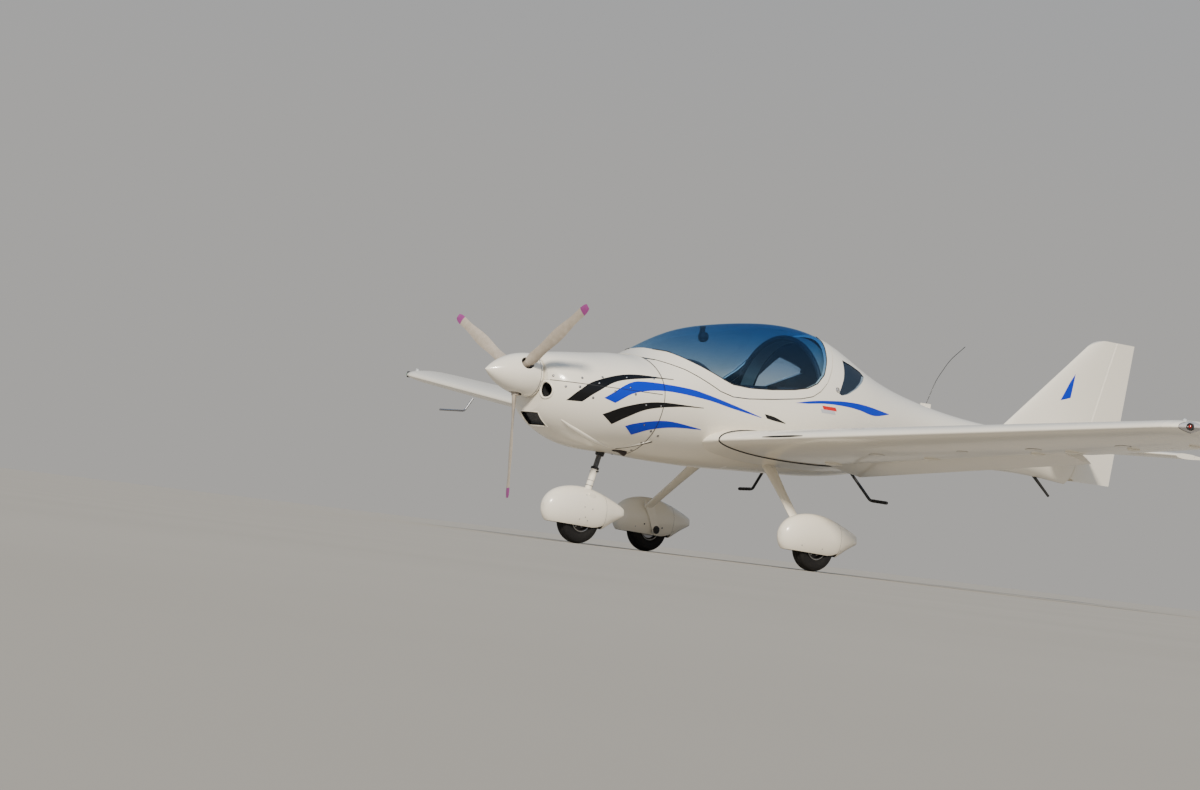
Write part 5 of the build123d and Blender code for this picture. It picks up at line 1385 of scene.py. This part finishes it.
u_back = Vector((0, 0.2736, 0.9619))
n_back = Vector((0, -0.9619, 0.2736))
u_pan = Vector((0, 0.9954, -0.0960))
n_pan = Vector((0, 0.0960, 0.9954))
seat_trees = {}
for side, x in (("left", 0.25), ("right", -0.25)):
    places = {
        "pan": (Vector((x, -0.925, Z(-0.215))), u_pan, n_pan),
        "back": (Vector((x, -0.6211, Z(-0.0045))), u_back, n_back),
    }
    shell_v, shell_f = [], []
    for kind, (c, u, nrm) in places.items():
        me = pad_made[kind].copy()
        right = u.cross(nrm).normalized()
        rot3 = Matrix((right, u, nrm)).transposed().to_4x4()
        me.transform(Matrix.Translation(c) @ rot3)
        o = bpy.data.objects.new(f"{side}_seat_{kind}_cushion", me)
        scene.collection.objects.link(o)
        me.materials.clear()
        me.materials.append(seat_cloth)
        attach(o, "airframe")
        if kind == "pan":
            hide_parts(f"{side}_seat")
        base = len(shell_v)
        shell_v += [v.co.copy() for v in me.vertices]
        shell_f += [[base + i for i in p.vertices] for p in me.polygons]
        # piping round the edge, found on the finished pad
        bv = BVHTree.FromPolygons([v.co for v in me.vertices], [list(p.vertices) for p in me.polygons])
        pts = []
        w2, d2 = PADS[kind][0] / 2, PADS[kind][1] / 2
        for i in range(96):
            t = 2 * math.pi * i / 96
            ex = abs(math.cos(t)) ** 0.28 * math.copysign(1, math.cos(t)) * (w2 + 0.03)
            ey = abs(math.sin(t)) ** 0.28 * math.copysign(1, math.sin(t)) * (d2 + 0.03)
            target = c + right * (ex * 0.55) + u * (ey * 0.55) + nrm * (PADS[kind][2] * 0.20)
            start = c + right * ex + u * ey + nrm * (PADS[kind][2] * 0.20)
            loc, nor = drop(bv, start, target - start)
            if loc is not None:
                pts.append(loc)
        if len(pts) > 20:
            Pile().add(*tube_along(pts, 0.0026, 6, closed=True)).make(f"{side}_seat_{kind}_piping", dark_trim, "airframe", "seat_cloth")
    seat_trees[side] = BVHTree.FromPolygons(shell_v, shell_f)
    # moulded shell behind and under the cushions
    shell = Pile()
    prof = [(-1.118, -0.262), (-0.700, -0.266), (-0.648, -0.256), (-0.616, -0.190), (-0.566, 0.030), (-0.538, 0.188)]
    line = catmull([(y, z) for y, z in prof], 5)
    for k, (y, z) in enumerate(line):
        for dx in (-0.186, -0.120, 0.0, 0.120, 0.186):
            bulge = 0.010 * (abs(dx) / 0.186) ** 3
            shell.v.append(Vector((x + dx, y - bulge * (1 if z > -0.2 else 0), Z(z + (bulge if z <= -0.2 else 0)))))
    m = 5
    for k in range(len(line) - 1):
        for i in range(m - 1):
            shell.f.append([k * m + i, k * m + i + 1, (k + 1) * m + i + 1, (k + 1) * m + i])
    so = shell.make(f"{side}_seat_shell", dark_trim, "airframe", "seat_cloth", sharp=60)
    sol = so.modifiers.new("thick", "SOLIDIFY")
    sol.thickness, sol.offset = 0.004, 0.0

    # four-point belt: two shoulder straps, a lap strap, a round buckle
    belts = Pile()
    tree = seat_trees[side]

    def strap(path, out, width, lift=0.004):
        pts, nors = [], []
        for p in spread(path, 0.02):
            p = Vector(p)
            loc, nor = drop(tree, p + out * 0.25, -out, 0.5)
            if loc is None:
                loc, nor = p, out
            pts.append(loc + out * lift)
            nors.append(out)
        # ease the corners of the line before it becomes webbing
        sm = pts
        for _ in range(4):
            sm = [sm[0]] + [(a + b * 2 + c) / 4 for a, b, c in zip(sm[:-2], sm[1:-1], sm[2:])] + [sm[-1]]
        v, f = [], []
        n = len(sm)
        for i in range(n):
            t = (sm[min(i + 1, n - 1)] - sm[max(i - 1, 0)]).normalized()
            wv = t.cross(out).normalized() * width / 2
            nn = wv.cross(t).normalized() * 0.0009
            v += [sm[i] - wv + nn, sm[i] + wv + nn, sm[i] + wv - nn, sm[i] - wv - nn]
        for i in range(n - 1):
            for k in range(4):
                f.append([i * 4 + k, i * 4 + (k + 1) % 4, (i + 1) * 4 + (k + 1) % 4, (i + 1) * 4 + k])
        belts.add(v, f)

    buckle = Vector((x, -0.790, Z(-0.130)))
    for s in (-1, 1):
        strap([(x + s * 0.075, -0.600, Z(0.170)), (x + s * 0.060, -0.640, Z(0.03)), (x + s * 0.040, -0.690, Z(-0.10))], n_back, 0.045)
        strap([(x + s * 0.040, -0.705, Z(-0.12)), (x + s * 0.012, -0.775, Z(-0.14))], (n_pan + n_back).normalized(), 0.045, 0.006)
        strap([(x + s * 0.172, -0.745, Z(-0.17)), (x + s * 0.100, -0.765, Z(-0.15)), (x + s * 0.012, -0.785, Z(-0.15))], n_pan, 0.045)
    belts.make(f"{side}_belts", webbing, "airframe", "seat_cloth")
    loc, nor = drop(tree, buckle + n_pan * 0.2, -n_pan, 0.5)
    at = (loc if loc is not None else buckle) + n_pan * 0.006
    Pile().add(*lathe(at, n_pan, [(-0.004, 0.026), (0.010, 0.026), (0.014, 0.022), (0.014, 0.012), (0.019, 0.010), (0.019, 0.0002)], 32)).make(
        f"{side}_belt_buckle", steel, "airframe", "steel")

# ---------------------------------------------------------------------------
# tail details and small fittings
# ---------------------------------------------------------------------------
horn = Pile()
horn.add(*tube_along([(0.0, 2.47, Z(0.035)), (0.0, 2.52, Z(-0.02)), (0.0, 2.56, Z(-0.055))], [0.010, 0.007, 0.005], 8))
horn.make("elevator_horn", dark_steel, "elevator_body", "steel")
tabs = Pile()
rows_t, rows_n = [], []
EL = tree_of("elevator")
for i in range(21):
    x = 0.18 + 0.45 * i / 20
    loc, nor = drop(EL, (x, 2.655, Z(0.3)), (0, 0, -1))
    if loc is not None:
        rows_t.append(loc)
        rows_n.append(nor)
tabs.add(*ribbon_on(rows_t, rows_n, 0.0030, 0.0008))
tabs.make("trim_tab_line", rubber_seal, "elevator_body", "black_trim")
# rubber grips on the boarding steps
treads = Pile()
for side in (1, -1):
    a, b = Vector((side * 0.700, -0.058, Z(-0.575))), Vector((side * 0.848, -0.047, Z(-0.581)))
    treads.add(*tube_along([a + (b - a) * k / 8 for k in range(9)], [0.0128 if k % 2 else 0.0118 for k in range(9)], 16))
treads.make("step_grips", plain("grip_rubber", (0.016, 0.016, 0.017), 0.85, scale=500, bump=0.9, bump_d=0.001), "airframe", "black_trim")
